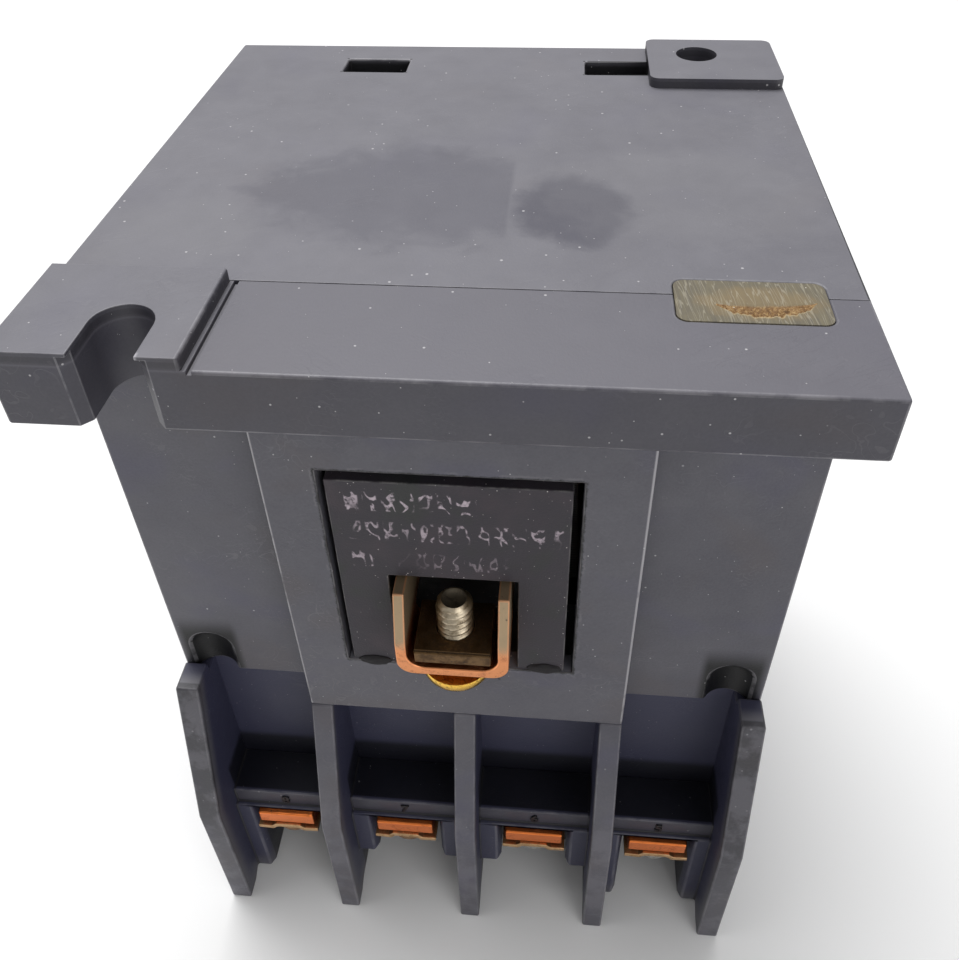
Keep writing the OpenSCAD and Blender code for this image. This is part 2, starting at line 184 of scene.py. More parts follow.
class Tree:
    """A node tree with one way to add a node."""

    def __init__(self, tree):
        self.tree = tree

    def add(self, kind, settings=None, sockets=None, output=0):
        node = self.tree.nodes.new(kind)
        for name, value in (settings or {}).items():
            if name == "stops":
                self.set_stops(node.color_ramp, value)
            else:
                setattr(node, name, value)
        for key, value in (sockets or {}).items():
            self.feed(node.inputs[key], value)
        return Field(self, node.outputs[output])

    def feed(self, socket, value):
        if isinstance(value, Field):
            self.tree.links.new(value.socket, socket)
        else:
            socket.default_value = value

    @staticmethod
    def set_stops(ramp, stops):
        while len(ramp.elements) < len(stops):
            ramp.elements.new(1.0)
        for element, (place, colour) in zip(ramp.elements, stops):
            element.position = place
            element.color = colour


class Finish(Tree):
    """A material for one kind of surface. Places inside it are in millimetres."""

    def __init__(self, name, **constants):
        self.material = bpy.data.materials.new(name)
        self.material.use_nodes = True
        super().__init__(self.material.node_tree)
        self.tree.nodes.clear()
        self.shader = self.tree.nodes.new("ShaderNodeBsdfPrincipled")
        end = self.tree.nodes.new("ShaderNodeOutputMaterial")
        self.tree.links.new(self.shader.outputs[0], end.inputs["Surface"])
        for key, value in constants.items():
            label = key.replace("_", " ").title().replace("Ior", "IOR")
            self.shader.inputs[label].default_value = value
        spot = self.add("ShaderNodeTexCoord", output="Object")
        self.place = self.add("ShaderNodeVectorMath", {"operation": "SCALE"},
                              {0: spot, "Scale": 1 / MM})
        self.x, self.y, self.z = self.parts(self.place)

    def parts(self, vector):
        split = self.add("ShaderNodeSeparateXYZ", sockets={0: vector})
        return split, split.other("Y"), split.other("Z")

    def facing(self):
        """The three parts of the surface's direction."""
        return self.parts(self.add("ShaderNodeNewGeometry", output="Normal"))

    def stretched(self, x, y, z, turn=0.0):
        """The place with its axes turned about Z and scaled."""
        return self.add("ShaderNodeMapping", {"vector_type": "TEXTURE"},
                        {"Vector": self.place, "Rotation": (0, 0, turn), "Scale": (x, y, z)})

    def cloud(self, size, detail=2.0, rough=0.5, twist=0.0, place=None):
        """Noise from 0 to 1 whose lumps are about size across."""
        return self.add("ShaderNodeTexNoise", None, {
            "Vector": place or self.place, "Scale": 1 / size, "Detail": detail,
            "Roughness": rough, "Distortion": twist})

    def specks(self, spacing, radius, share, place=None):
        """Round specks in some of the cells of a loose grid."""
        cells = self.add("ShaderNodeTexVoronoi", None,
                         {"Vector": place or self.place, "Scale": 1 / spacing})
        pick = self.add("ShaderNodeSeparateColor", sockets={0: cells.other("Color")})
        size = pick.other("Green") * (radius / spacing)
        dot = (cells / (size + 0.002)).falling(0.6, 1.0)
        return dot * pick.falling(share - 0.01, share + 0.01)

    def strands(self, size, width, place=None, twist=0.6):
        """Thin curved lines, the level lines of a cloud."""
        cloud = self.cloud(size, 1.0, 0.4, twist, place)
        return abs(cloud - 0.5).falling(width * 0.5, width)

    def mix(self, share, under, over):
        return self.add("ShaderNodeMix", {"data_type": "RGBA"},
                        {0: share, 6: under, 7: over}, output=2)

    def ramp(self, share, *stops):
        return self.add("ShaderNodeValToRGB", {"stops": stops}, {0: share})

    def bump(self, height, depth):
        """A normal from a height between 0 and 1 that stands for depth millimetres."""
        return self.add("ShaderNodeBump", None, {"Strength": 1.0, "Distance": depth * MM,
                                                 "Height": height})

    def attribute(self, name):
        return self.add("ShaderNodeAttribute", {"attribute_name": name}, output="Fac")

    def wear(self):
        """Where an outer edge is rubbed, and the inner roundings that callers darken as dirt and
        painted shade.
        """
        edge = self.attribute("edge")
        return edge.math("MAXIMUM", 0.0), (-edge).math("MAXIMUM", 0.0)

    def done(self, colour, roughness, normal=None, metallic=None):
        self.feed(self.shader.inputs["Base Color"], colour)
        self.feed(self.shader.inputs["Roughness"], roughness)
        if normal is not None:
            self.feed(self.shader.inputs["Normal"], normal)
        if metallic is not None:
            self.feed(self.shader.inputs["Metallic"], metallic)
        return self.material


class Recipe(Tree):
    """A Geometry Nodes tree with named inputs, run once to make a plain mesh."""

    SOCKETS = {"length": "NodeSocketFloat", "number": "NodeSocketInt",
               "place": "NodeSocketVector", "material": "NodeSocketMaterial"}

    def __init__(self, name, **inputs):
        super().__init__(bpy.data.node_groups.new(name, "GeometryNodeTree"))
        face = self.tree.interface
        face.new_socket("Geometry", in_out="INPUT", socket_type="NodeSocketGeometry")
        face.new_socket("Geometry", in_out="OUTPUT", socket_type="NodeSocketGeometry")
        self.keys = {}
        for label, kind in inputs.items():
            socket = face.new_socket(label.replace("_", " ").capitalize(), in_out="INPUT",
                                     socket_type=self.SOCKETS[kind])
            self.keys[label] = socket.identifier
        self.start = self.tree.nodes.new("NodeGroupInput")

    def given(self, label):
        """One of the named inputs."""
        key = self.keys.get(label)
        for socket in self.start.outputs:
            if socket.identifier == key or (key is None and socket.type == "GEOMETRY"):
                return Field(self, socket)
        raise RuntimeError(f"the recipe has no input named {label}")

    def finish(self, geometry):
        real = self.add("GeometryNodeRealizeInstances", None, {0: geometry})
        dressed = self.add("GeometryNodeSetMaterial", None,
                           {0: real, "Material": self.given("material")})
        end = self.tree.nodes.new("NodeGroupOutput")
        self.tree.links.new(dressed.socket, end.inputs[0])
        return self

    def make(self, base=None, **values):
        """The mesh that the recipe makes from a base mesh and the values of its inputs."""
        holder = bpy.data.objects.new("holder", base or bpy.data.meshes.new("seed"))
        bpy.context.scene.collection.objects.link(holder)
        step = holder.modifiers.new("recipe", "NODES")
        step.node_group = self.tree
        for label, value in values.items():
            step[self.keys[label]] = value
        return plain(holder)


# ---- Mesh helpers --------------------------------------------------------


def plain(holder):
    """The evaluated mesh of a holder object, which is then removed."""
    graph = bpy.context.evaluated_depsgraph_get()
    mesh = bpy.data.meshes.new_from_object(
        holder.evaluated_get(graph), preserve_all_data_layers=True, depsgraph=graph)
    bpy.data.objects.remove(holder)
    return mesh


def modified(mesh, *steps):
    """The mesh after these modifiers, each given as its type and its settings."""
    holder = bpy.data.objects.new("holder", mesh)
    bpy.context.scene.collection.objects.link(holder)
    for kind, settings in steps:
        step = holder.modifiers.new(kind.lower(), kind)
        for name, value in settings.items():
            setattr(step, name, value)
    return plain(holder)


def carved(mesh, cutter, operation="DIFFERENCE"):
    """The mesh with a cutter mesh taken away from it."""
    tool = bpy.data.objects.new("cutter", cutter)
    bpy.context.scene.collection.objects.link(tool)
    result = modified(mesh, ("BOOLEAN", {"operation": operation, "object": tool,
                                         "solver": "EXACT"}))
    bpy.data.objects.remove(tool)
    return result


def smooth(mesh):
    """The mesh with smooth shading on all its faces."""
    for face in mesh.polygons:
        face.use_smooth = True
    return mesh


def from_bmesh(bm, name):
    mesh = bpy.data.meshes.new(name)
    bm.to_mesh(mesh)
    bm.free()
    return mesh


def box_mesh(low, high, corner=0.0):
    """A box between two corners in millimetres, with its upright corners rounded."""
    bm = bmesh.new()
    bmesh.ops.create_cube(bm, size=1.0)
    low, high = mm(*low), mm(*high)
    for vert in bm.verts:
        vert.co = [low[k] + (vert.co[k] + 0.5) * (high[k] - low[k]) for k in range(3)]
    if corner:
        upright = [e for e in bm.edges if abs(e.verts[0].co.z - e.verts[1].co.z) > MERGE]
        bmesh.ops.bevel(bm, geom=upright, offset=corner * MM, segments=6, profile=0.5,
                        affect="EDGES")
    return from_bmesh(bm, "box")


def joined(*meshes):
    bm = bmesh.new()
    for mesh in meshes:
        bm.from_mesh(mesh)
    return from_bmesh(bm, "joined")


def node_copy(node):
    """A CAD node's mesh as one closed surface."""
    bm = bmesh.new()
    bm.from_mesh(frame["nodes"][node].data)
    bmesh.ops.remove_doubles(bm, verts=bm.verts[:], dist=MERGE)
    return from_bmesh(bm, node)


def softened(mesh, radius, rules=(), limit=28, segments=2):
    """The mesh with its edges rounded. A rule gives the edges in a box of millimetres
    their own radius. The face attribute "edge" is 1 on outer roundings, -1 on inner ones."""
    bm = bmesh.new()
    bm.from_mesh(mesh)
    bmesh.ops.dissolve_limit(bm, angle_limit=math.radians(0.4), verts=bm.verts[:],
                             edges=bm.edges[:])
    widest = max([radius, *(rule[2] for rule in rules)])
    weights = bm.edges.layers.float.new("bevel_weight_edge")
    for edge in bm.edges:
        if not edge.is_manifold or edge.calc_face_angle(0) < math.radians(limit):
            continue
        middle = (edge.verts[0].co + edge.verts[1].co) / 2 / MM
        width = radius
        for low, high, own in rules:
            if all(low[k] <= middle[k] <= high[k] for k in range(3)):
                width = own
        edge[weights] = width / widest
        edge.smooth = width > 0
    for face in bm.faces:
        face.smooth = True
        face.material_index = 0
    home = bm.verts.layers.float_vector.new("home")
    for vert in bm.verts:
        vert[home] = vert.co
    mesh = from_bmesh(bm, mesh.name)
    mesh.materials.clear()
    for _ in range(2):
        mesh.materials.append(None)
    mesh = modified(mesh, ("BEVEL", {
        "limit_method": "WEIGHT", "width": widest * MM, "segments": segments,
        "use_clamp_overlap": False, "material": 1, "loop_slide": False,
        "miter_outer": "MITER_PATCH"}))
    bm = bmesh.new()
    bm.from_mesh(mesh)
    # A rounding at a crowded corner can shoot far along a face; it is pulled back
    home = bm.verts.layers.float_vector["home"]
    reach = widest * SPIKE * MM
    for vert in bm.verts:
        away = vert.co - vert[home]
        if away.length > reach:
            vert.co = vert[home] + away.normalized() * reach
    bm.verts.layers.float_vector.remove(home)
    mark = bm.faces.layers.float.new("edge")
    for face in bm.faces:
        if face.material_index:
            bend = sum(edge.calc_face_angle_signed(0) for edge in face.edges)
            face[mark] = 1.0 if bend > 0 else -1.0
        face.material_index = 0
        face.smooth = True
    mesh = from_bmesh(bm, mesh.name)
    mesh.materials.clear()
    return modified(mesh, ("WEIGHTED_NORMAL", {
        "mode": "FACE_AREA", "weight": 80, "keep_sharp": True}))


def piece(name, mesh, material, body, slot, *nodes):
    """A finished mesh as a piece on its body, in place of CAD nodes."""
    mesh.name = name
    thing = bpy.data.objects.new(name, mesh)
    bpy.context.scene.collection.objects.link(thing)
    mesh.materials.clear()
    mesh.materials.append(material)
    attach(thing, body)
    if nodes:
        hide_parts(*nodes)
    return thing


def refit(name, node, radius, material, body, slot, segments=2):
    """A CAD node's own shape with softened edges, as the piece that replaces it."""
    mesh = softened(node_copy(node), radius, segments=segments)
    return piece(name, mesh, material, body, slot, node)


def dress(node, material):
    """Gives a CAD node that stays its finish."""
    for slot in frame["nodes"][node].material_slots:
        slot.material = material


def moved(mesh, offset):
    mesh = mesh.copy()
    mesh.transform(Matrix.Translation(offset))
    return mesh


def lathe(rings, sides):
    """A closed surface of revolution about Z. A ring is a height and a radius, or a
    height and a function from the angle to the radius; both are in metres."""
    bm = bmesh.new()
    loops = []
    for height, radius in rings:
        reach = radius if callable(radius) else lambda angle, r=radius: r
        loops.append([
            bm.verts.new((reach(a) * math.cos(a), reach(a) * math.sin(a), height))
            for a in (math.tau * k / sides for k in range(sides))])
    for lower, upper in zip(loops, loops[1:]):
        for k in range(sides):
            j = (k + 1) % sides
            bm.faces.new((lower[k], lower[j], upper[j], upper[k]))
    for loop, height, turn in ((loops[0], rings[0][0], -1), (loops[-1], rings[-1][0], 1)):
        pole = bm.verts.new((0, 0, height))
        for k in range(sides):
            a, b = loop[k], loop[(k + 1) % sides]
            bm.faces.new((a, b, pole) if turn > 0 else (b, a, pole))
    for face in bm.faces:
        face.smooth = True
    return from_bmesh(bm, "turned")


def screw_mesh(head_low, head_high, head_radius, dome, shank_radius, tip, pitch, bare=0.0,
               slot=(1.2, 1.1)):
    """A slotted dome-head screw about Z with a real thread. Sizes are in millimetres,
    the head is at the bottom, and bare is the height at which the thread starts."""
    rings = []
    for k in range(1, 13):
        turn = k / 12 * math.pi / 2
        rings.append((head_low + dome * (1 - math.cos(turn)), head_radius * math.sin(turn)))
    rings += [(head_high - 0.12, head_radius), (head_high - 0.03, head_radius - 0.05),
              (head_high, head_radius - 0.14), (head_high, shank_radius + 0.1),
              (head_high + 0.02, shank_radius - 0.05)]
    depth = 0.5 * pitch
    start = max(head_high + 0.1, bare)
    steps = int((tip - start) / (pitch / 9))

    def thread(height):
        def radius(angle):
            phase = (height / pitch - angle / math.tau) % 1.0
            crest = min(1.0, abs(phase - 0.5) * 2.6)
            chamfer = max(0.0, height - (tip - 0.8)) * 0.9
            run_out = max(0.0, 1 - (height - start) / pitch)
            reach = shank_radius - depth * (1 - crest) * (1 - run_out) * 0.9
            return min(reach, shank_radius - chamfer) * MM
        return radius

    solid = [(z * MM, r * MM) for z, r in rings]
    solid += [(height * MM, thread(height))
              for height in (start + (tip - start) * k / steps for k in range(steps + 1))]
    end = shank_radius - 0.72
    solid += [((tip - 0.03) * MM, (end - 0.18) * MM), ((tip - 0.22) * MM, (end - 0.45) * MM),
              ((tip - 0.26) * MM, 0.2 * MM)]
    mesh = lathe(solid, 48)
    width, cut = slot
    reach = head_radius + 1
    mesh = carved(mesh, box_mesh((-reach, -width / 2, head_low - 1),
                                 (reach, width / 2, head_low + cut)))
    smooth(mesh)
    mesh.set_sharp_from_angle(angle=math.radians(40))
    return mesh


# ---- Settings ------------------------------------------------------------


def chip(name, what, colour):
    """A colour setting."""
    return FloatVectorProperty(name=name, description=what, subtype="COLOR", size=4, min=0,
                               max=1, default=colour)


def millimetres(name, what, default, low, high):
    """A setting in millimetres."""
    return FloatProperty(name=name, description=f"{what} in millimetres", default=default,
                         min=low, max=high)


def whole(name, what, default, low, high):
    """A whole-number setting."""
    return IntProperty(name=name, description=what, default=default, min=low, max=high)


class MouldingSettings(bpy.types.PropertyGroup):
    """Sizes and colours of the black mouldings."""

    edge_radius: millimetres("Edge radius", "Rounding of the moulded edges", 0.32, 0.05, 0.6)
    seam_radius: millimetres("Seam radius", "Rounding along the seam", 0.09, 0.02, 0.3)
    deep: chip("Deep colour", "Darker tone of the moulding", paint(66, 65, 74))
    dusty: chip("Dusty colour", "Lighter, dusty tone of the moulding", paint(98, 97, 103))
    worn: chip("Worn edge", "Colour of rubbed edges", paint(150, 148, 152))


class ScarSettings(bpy.types.PropertyGroup):
    """The ground-off moulding gate on the mounting face."""

    length: millimetres("Length", "Size of the ground patch across the poles", 14.4, 5, 16)
    width: millimetres("Width", "Size of the ground patch across the seam", 7.0, 3, 9)
    depth: millimetres("Tear depth", "Depth of the torn pit", 0.55, 0.1, 0.7)
    colour: chip("Ground colour", "Colour of the ground resin", paint(122, 114, 92))
    torn: chip("Torn fibre", "Colour of the torn filler", paint(186, 158, 112))


class CoilSettings(bpy.types.PropertyGroup):
    """The coil case and its two screw terminals."""

    thread_pitch: millimetres("Thread pitch", "Pitch of the coil screws", 1.058, 0.4, 1.2)
    case: chip("Case", "Colour of the coil case", paint(56, 52, 58))
    ink: chip("Ink", "Colour of the worn ink marks", paint(205, 190, 200))
    copper: chip("Copper", "Bright part of the brackets", paint(222, 148, 100))
    brass: chip("Brass", "Screw heads", paint(232, 186, 84))


class PoleSettings(bpy.types.PropertyGroup):
    """The eight main terminals."""

    thread_pitch: millimetres("Thread pitch", "Pitch of the terminal screws", 0.794, 0.4, 1.0)
    numeral: millimetres("Numeral height", "Height of the terminal numbers", 1.75, 0.8, 2.4)
    bar: chip("Bar", "Colour of the terminal bars", paint(232, 128, 66))
    plate: chip("Clamp plate", "Colour of the clamp plates", paint(196, 160, 118))


class MagnetSettings(bpy.types.PropertyGroup):
    """The magnet, its springs and the winding."""

    turns: whole("Return spring turns", "Turns of wire in a return spring", 7, 3, 12)
    contact_turns: whole("Contact spring turns", "Turns of wire in a contact spring", 5, 3, 10)
    layers: whole("Winding layers", "Wire turns seen along the coil", 56, 10, 80)


class StageSettings(bpy.types.PropertyGroup):
    """Floor, light and camera."""

    floor: chip("Floor", "Colour of the floor", (0.93, 0.93, 0.93, 1.0))
    key: FloatProperty(
        name="Key light", description="Power of the large light overhead", default=14.5,
        min=0, unit="POWER")
    sky: FloatProperty(
        name="Sky", description="Brightness of the surroundings", default=0.4, min=0)


# ---- Finishes ------------------------------------------------------------


def smudge(f, x, y, half_x, half_y, edge):
    """A hand-sized smear on the mounting face, with a wandering outline."""
    across = (f.x - x) / half_x
    along = (f.y - y) / half_y
    far = across * across + along * along + (edge - 0.5) * 1.6
    return far.falling(0.35, 1.15)


def moulded(name, settings, depth=1.0, extras=None, dusting=0.6, wear=0.34):
    """Black thermoset moulding: clouded, dusty, finely scratched, rubbed at its edges; upward
    faces get painted light, the sides above the flange line painted shade, and the inner roundings
    dirt and painted shade.
    """
    f = Finish(name, specular_ior_level=0.42)
    broad = f.cloud(26, 3, 0.55, 0.4)
    mottle = f.cloud(4.5, 5, 0.62, 0.2)
    grain = f.cloud(0.33, 3, 0.6)
    tone = (broad - 0.5) * 0.9 + (mottle - 0.5) * 0.75 + (grain - 0.5) * 0.5 + 0.45
    _, _, up = f.facing()
    # Upward faces are painted lighter: painted light from above.
    tone = tone + up.rising(0.5, 0.95) * 0.3
    colour = f.mix(tone.clamped(), settings.deep, settings.dusty)
    tint = f.cloud(13, 2, 0.5, 0.3, f.stretched(1, 1.3, 0.8, 0.5))
    colour = f.mix(tint.rising(0.52, 0.75) * 0.35, colour, paint(74, 72, 96))
    colour = f.mix(tint.falling(0.28, 0.46) * 0.22, colour, paint(84, 74, 70))
    scratch = f.strands(1.9, 0.018, f.stretched(3.5, 0.8, 1.4, 0.5), 1.2)
    scratch = scratch * f.cloud(14, 2).rising(0.5, 0.66)
    hair = f.strands(0.75, 0.02, f.stretched(1.2, 3.0, 1.0, 0.9), 0.8)
    hair = hair * f.cloud(9, 2, place=f.stretched(1.2, 1, 1, 2.0)).rising(0.54, 0.7)
    colour = f.mix(scratch * 0.16 + hair * 0.13, colour, paint(132, 130, 134))
    # Upward faces mixed towards a lighter grey: painted light from above.
    colour = f.mix(up.rising(0.5, 0.95) * 0.62, colour, f.mix(
        (mottle * 0.6 + broad * 0.5).clamped(), paint(108, 107, 114), paint(128, 127, 134)))
    # Faces above 107.2 mm that don't face up are darkened: painted shade on the flange sides.
    colour = f.mix(f.z.rising(107.2, 107.6) * up.falling(0.4, 0.8) * 0.42, colour,
                   paint(44, 42, 50))
    if extras:
        colour = extras(f, colour)
    rubbed, grime_and_shade = f.wear()
    colour = f.mix(rubbed * mottle.rising(0.38, 0.62) * wear, colour, settings.worn)
    # Inner roundings darkened: dirt and painted shade in the creases.
    colour = f.mix(grime_and_shade * 0.75, colour, paint(26, 25, 28))
    dust = f.specks(1.5, 0.2, 0.42) | f.specks(0.9, 0.1, 0.34, f.stretched(1, 1, 1, 1.1))
    colour = f.mix(dust * 0.9 * dusting, colour, paint(215, 213, 215))
    roughness = 0.5 + (mottle - 0.5) * 0.22 + (broad - 0.5) * 0.12 - rubbed * 0.1 - scratch * 0.05
    height = grain * 0.55 + mottle * 0.6 - scratch * 0.25 - hair * 0.2 + dust * 0.8
    return f.done(colour, roughness, f.bump(height, 0.045 * depth))


def base_extras(f, colour):
    """Smears of the mounting face, painted shade on the mounting slot walls and on the pad walls.
    """
    edge = f.cloud(5.5, 4, 0.6, 0.5)
    top = f.z.rising(114.2, 114.45)
    dark = smudge(f, 11.6, -9.8, 7.4, 8.6, edge) * 0.8
    left = f.x.falling(4.4, 5.2) * smudge(f, -7, -7, 20, 13, edge)
    flat = (dark | (left * 0.45)) * top
    colour = f.mix(flat * 0.85, colour, paint(64, 63, 76))
    # Mounting slot walls below the mounting face are painted near-black: painted shade.
    slot_shade = f.y.between(30.1, 35.3, 0.1) * f.z.falling(113.6, 114.3) * abs(f.x).falling(38, 39)
    colour = f.mix(slot_shade * 0.9, colour, paint(10, 10, 13))
    light = smudge(f, 24, -6, 18, 12, edge) | smudge(f, -30, -18, 9, 10, edge)
    colour = f.mix(light * top * 0.2, colour, paint(128, 127, 130))
    return pad_grime(f, colour)


def pad_grime(f, colour):
    """Painted shade: a dark band on the walls of a raised pad where it meets the mounting face."""
    return f.mix(f.z.between(114.55, 115.45, 0.06) * 0.35, colour, paint(24, 23, 27))


def housing_extras(f, colour):
    """Painted shade as a ragged dark band round the coil window and inside the scoops, and painted
    highlights along the edges of the raised panels.
    """
    panel = abs(f.y).rising(32.0, 32.15)
    strip = f.z.rising(114.2, 114.45) * f.z.falling(114.6, 114.9)
    colour = f.mix(strip * 0.5, colour, paint(92, 90, 98))
    ragged = (f.cloud(0.7, 4, 0.75) - 0.5) * 0.9
    low_x, high_x, low_z, high_z = COIL_WINDOW
    out_x = (abs(f.x - (low_x + high_x) / 2) - (high_x - low_x) / 2).math("MAXIMUM", 0.0)
    out_z = (abs(f.z - (low_z + high_z) / 2) - (high_z - low_z) / 2).math("MAXIMUM", 0.0)
    away = (out_x * out_x + out_z * out_z).math("SQRT") + ragged
    # A ragged near-black band on the panel round the coil window: painted shade at the window's
    # edge.
    colour = f.mix(away.falling(0.1, 0.42) * panel, colour, paint(12, 11, 13))
    lip = away.between(0.4, 0.62, 0.12) * panel * f.cloud(2.2, 2).rising(0.5, 0.62)
    colour = f.mix(lip * 0.22, colour, paint(140, 138, 140))
    # Light lines along the upright edges of the raised panels: painted highlight.
    side = abs(abs(f.x) - 21.3).falling(0.06, 0.3) * abs(f.y).rising(29.2, 29.8)
    side = side * f.z.falling(106.5, 107.4) * f.cloud(6, 3, 0.7).rising(0.36, 0.5)
    colour = f.mix(side * 0.75, colour, paint(176, 174, 178))
    mouth = abs(f.x + 25.9).falling(0.15, 0.5) * f.y.falling(-40.6, -40.2) * f.z.rising(107, 108)
    colour = f.mix(mouth * 0.7, colour, paint(186, 184, 190))
    scoop_x = abs(abs(f.x) - 35.4)
    scoop_shade = scoop_x.falling(3.2, 4.6) * f.z.falling(58, 62.5) * abs(f.y).rising(26.3, 26.6)
    scoop_shade = scoop_shade * abs(f.y).falling(28.7, 29.2)
    # The inside of the two scoops painted near-black: painted shade.
    colour = f.mix(scoop_shade.clamped(), colour, paint(4, 4, 6))
    scuffs = f.specks(0.55, 0.1, 0.35, f.stretched(1.6, 1, 1, 0.4))
    corner = smudge_wall(f, -31, 99, 6, 7)
    colour = f.mix(scuffs * corner * 0.55, colour, paint(170, 168, 172))
    return pad_grime(f, colour)


def smudge_wall(f, x, z, half_x, half_z):
    """A soft spot on an end wall."""
    across, up = (f.x - x) / half_x, (f.z - z) / half_z
    return (across * across + up * up).falling(0.3, 1.2) * abs(f.y).rising(28, 28.3)


def block_extras(f, colour):
    """Dirt and painted blue-black shade in the recesses between the barriers, painted shade on the
    outer barrier sides and on the low faces under the ledges, and rubbed barrier fronts.
    """
    slope = BARRIER_FACE - (f.z - BARRIER_BEND).math("MAXIMUM", 0.0) * BARRIER_LEAN
    inside = slope - abs(f.y) - abs(f.x).rising(SIDE - 0.1, SIDE + 0.1) * 40.0
    deep = inside.rising(0.35, 2.6) * f.z.rising(1, 6)
    # Recesses between the barriers painted blue-black: dirt and painted shade.
    colour = f.mix(deep * 0.88, colour, paint(47, 48, 72))
    # Outer sides of the outer barriers painted darker, more so higher up: painted shade.
    outer = abs(f.x).rising(36.2, 36.8) * inside.falling(0.3, 0.6)
    outer = outer * (f.z.rising(16, 30) * 0.65 + 0.35)
    outer = outer * abs(f.y).rising(BLOCK_END + 0.2, BLOCK_END + 0.4)
    colour = f.mix(outer * 0.62, colour, paint(36, 35, 38))
    # Low faces deep between the barriers painted near-black: painted shade.
    ledge_shade = f.z.falling(29, 31) * inside.rising(1.5, 3.0) * abs(f.y).falling(32.4, 32.6)
    colour = f.mix(ledge_shade * 0.9, colour, paint(8, 9, 18))
    front = abs(f.y).rising(32.6, 32.9) * f.z.between(21.3, 24.8, 0.1)
    front = front * abs(f.y).falling(33.1, 33.3)
    colour = f.mix(front * 0.75, colour, paint(64, 62, 68))
    face = inside.falling(0.05, 0.4) * f.cloud(5, 4, 0.65).rising(0.42, 0.6)
    return f.mix(face * 0.4, colour, paint(112, 110, 118))


def case_finish(settings):
    """Coil case: black, pitted, dusty, with rows of worn and unreadable ink marks, dirt and
    painted shade in its inner roundings, and painted shade in the bracket pockets.
    """
    f = Finish("coil_case_black", specular_ior_level=0.35)
    mottle = f.cloud(3.2, 5, 0.65, 0.3)
    grain = f.cloud(0.26, 3, 0.65)
    tone = ((mottle - 0.5) * 1.3 + (grain - 0.5) * 0.8 + 0.5).clamped()
    colour = f.mix(tone, paint(44, 41, 47), settings.case)
    tint = f.cloud(7, 2, 0.5)
    colour = f.mix(tint.rising(0.5, 0.7) * 0.5, colour, paint(66, 56, 62))
    colour = f.mix(tint.falling(0.3, 0.45) * 0.45, colour, paint(44, 50, 42))
    strokes = f.strands(1.9, 0.05, f.stretched(0.75, 1, 1.25), 0.15)
    ink = None
    for low, high, start, end, strength in INK_ROWS:
        cell = ((f.x - start) / INK_PITCH).math("FRACT").between(0.12, 0.84, 0.05)
        row = f.z.between(low, high, 0.16) * f.x.between(start, end, 0.1) * cell * strength
        ink = row if ink is None else ink | row
    worn = f.cloud(1.0, 4, 0.75).rising(0.36, 0.56)
    worn = worn * f.cloud(5, 2, place=f.stretched(1, 1, 1, 1)).rising(0.3, 0.5)
    face = abs(f.y).rising(31.8, 31.95)
    colour = f.mix(ink * strokes * worn * face * 0.75, colour, settings.ink)
    rubbed, grime_and_shade = f.wear()
    colour = f.mix(rubbed * mottle.rising(0.4, 0.6) * 0.45, colour, paint(120, 118, 116))
    # Inner roundings darkened: dirt and painted shade in the creases.
    colour = f.mix(grime_and_shade * 0.8, colour, paint(14, 13, 14))
    chips = f.specks(0.6, 0.13, 0.4) * (f.z.rising(91.2, 92.8) | f.x.rising(11.4, 12.9)
                                        | f.z.between(77.2, 79.0, 0.5)) * face
    dust = f.specks(0.95, 0.17, 0.42) | f.specks(0.55, 0.085, 0.3, f.stretched(1, 1, 1, 0.7))
    colour = f.mix((dust | chips) * 0.9, colour, paint(196, 190, 188))
    # Inside of the bracket pocket painted near-black: painted shade.
    pocket_shade = abs(f.x + 0.5).falling(7.6, 8.0) * f.z.falling(77.4, 77.8)
    pocket_shade = pocket_shade * abs(f.y).falling(31.2, 31.9)
    colour = f.mix(pocket_shade * 0.85, colour, paint(10, 9, 10))
    roughness = 0.56 + (mottle - 0.5) * 0.25
    height = grain * 0.8 + mottle * 0.8 + dust * 0.7 + ink * strokes * worn * 0.5
    return f.done(colour, roughness, f.bump(height, 0.07))


def dark_plastic(name, colour, rough=0.6):
    """Plain dark parts: rubber, dirty lugs and numerals."""
    f = Finish(name, specular_ior_level=0.3)
    mottle = f.cloud(0.9, 4, 0.6)
    shade = f.mix(mottle, colour, tuple(min(1, c * 1.9) for c in colour[:3]) + (1,))
    dust = f.specks(0.6, 0.07, 0.25)
    shade = f.mix(dust * 0.6, shade, paint(150, 146, 140))
    return f.done(shade, rough + (mottle - 0.5) * 0.2, f.bump(mottle, 0.08))


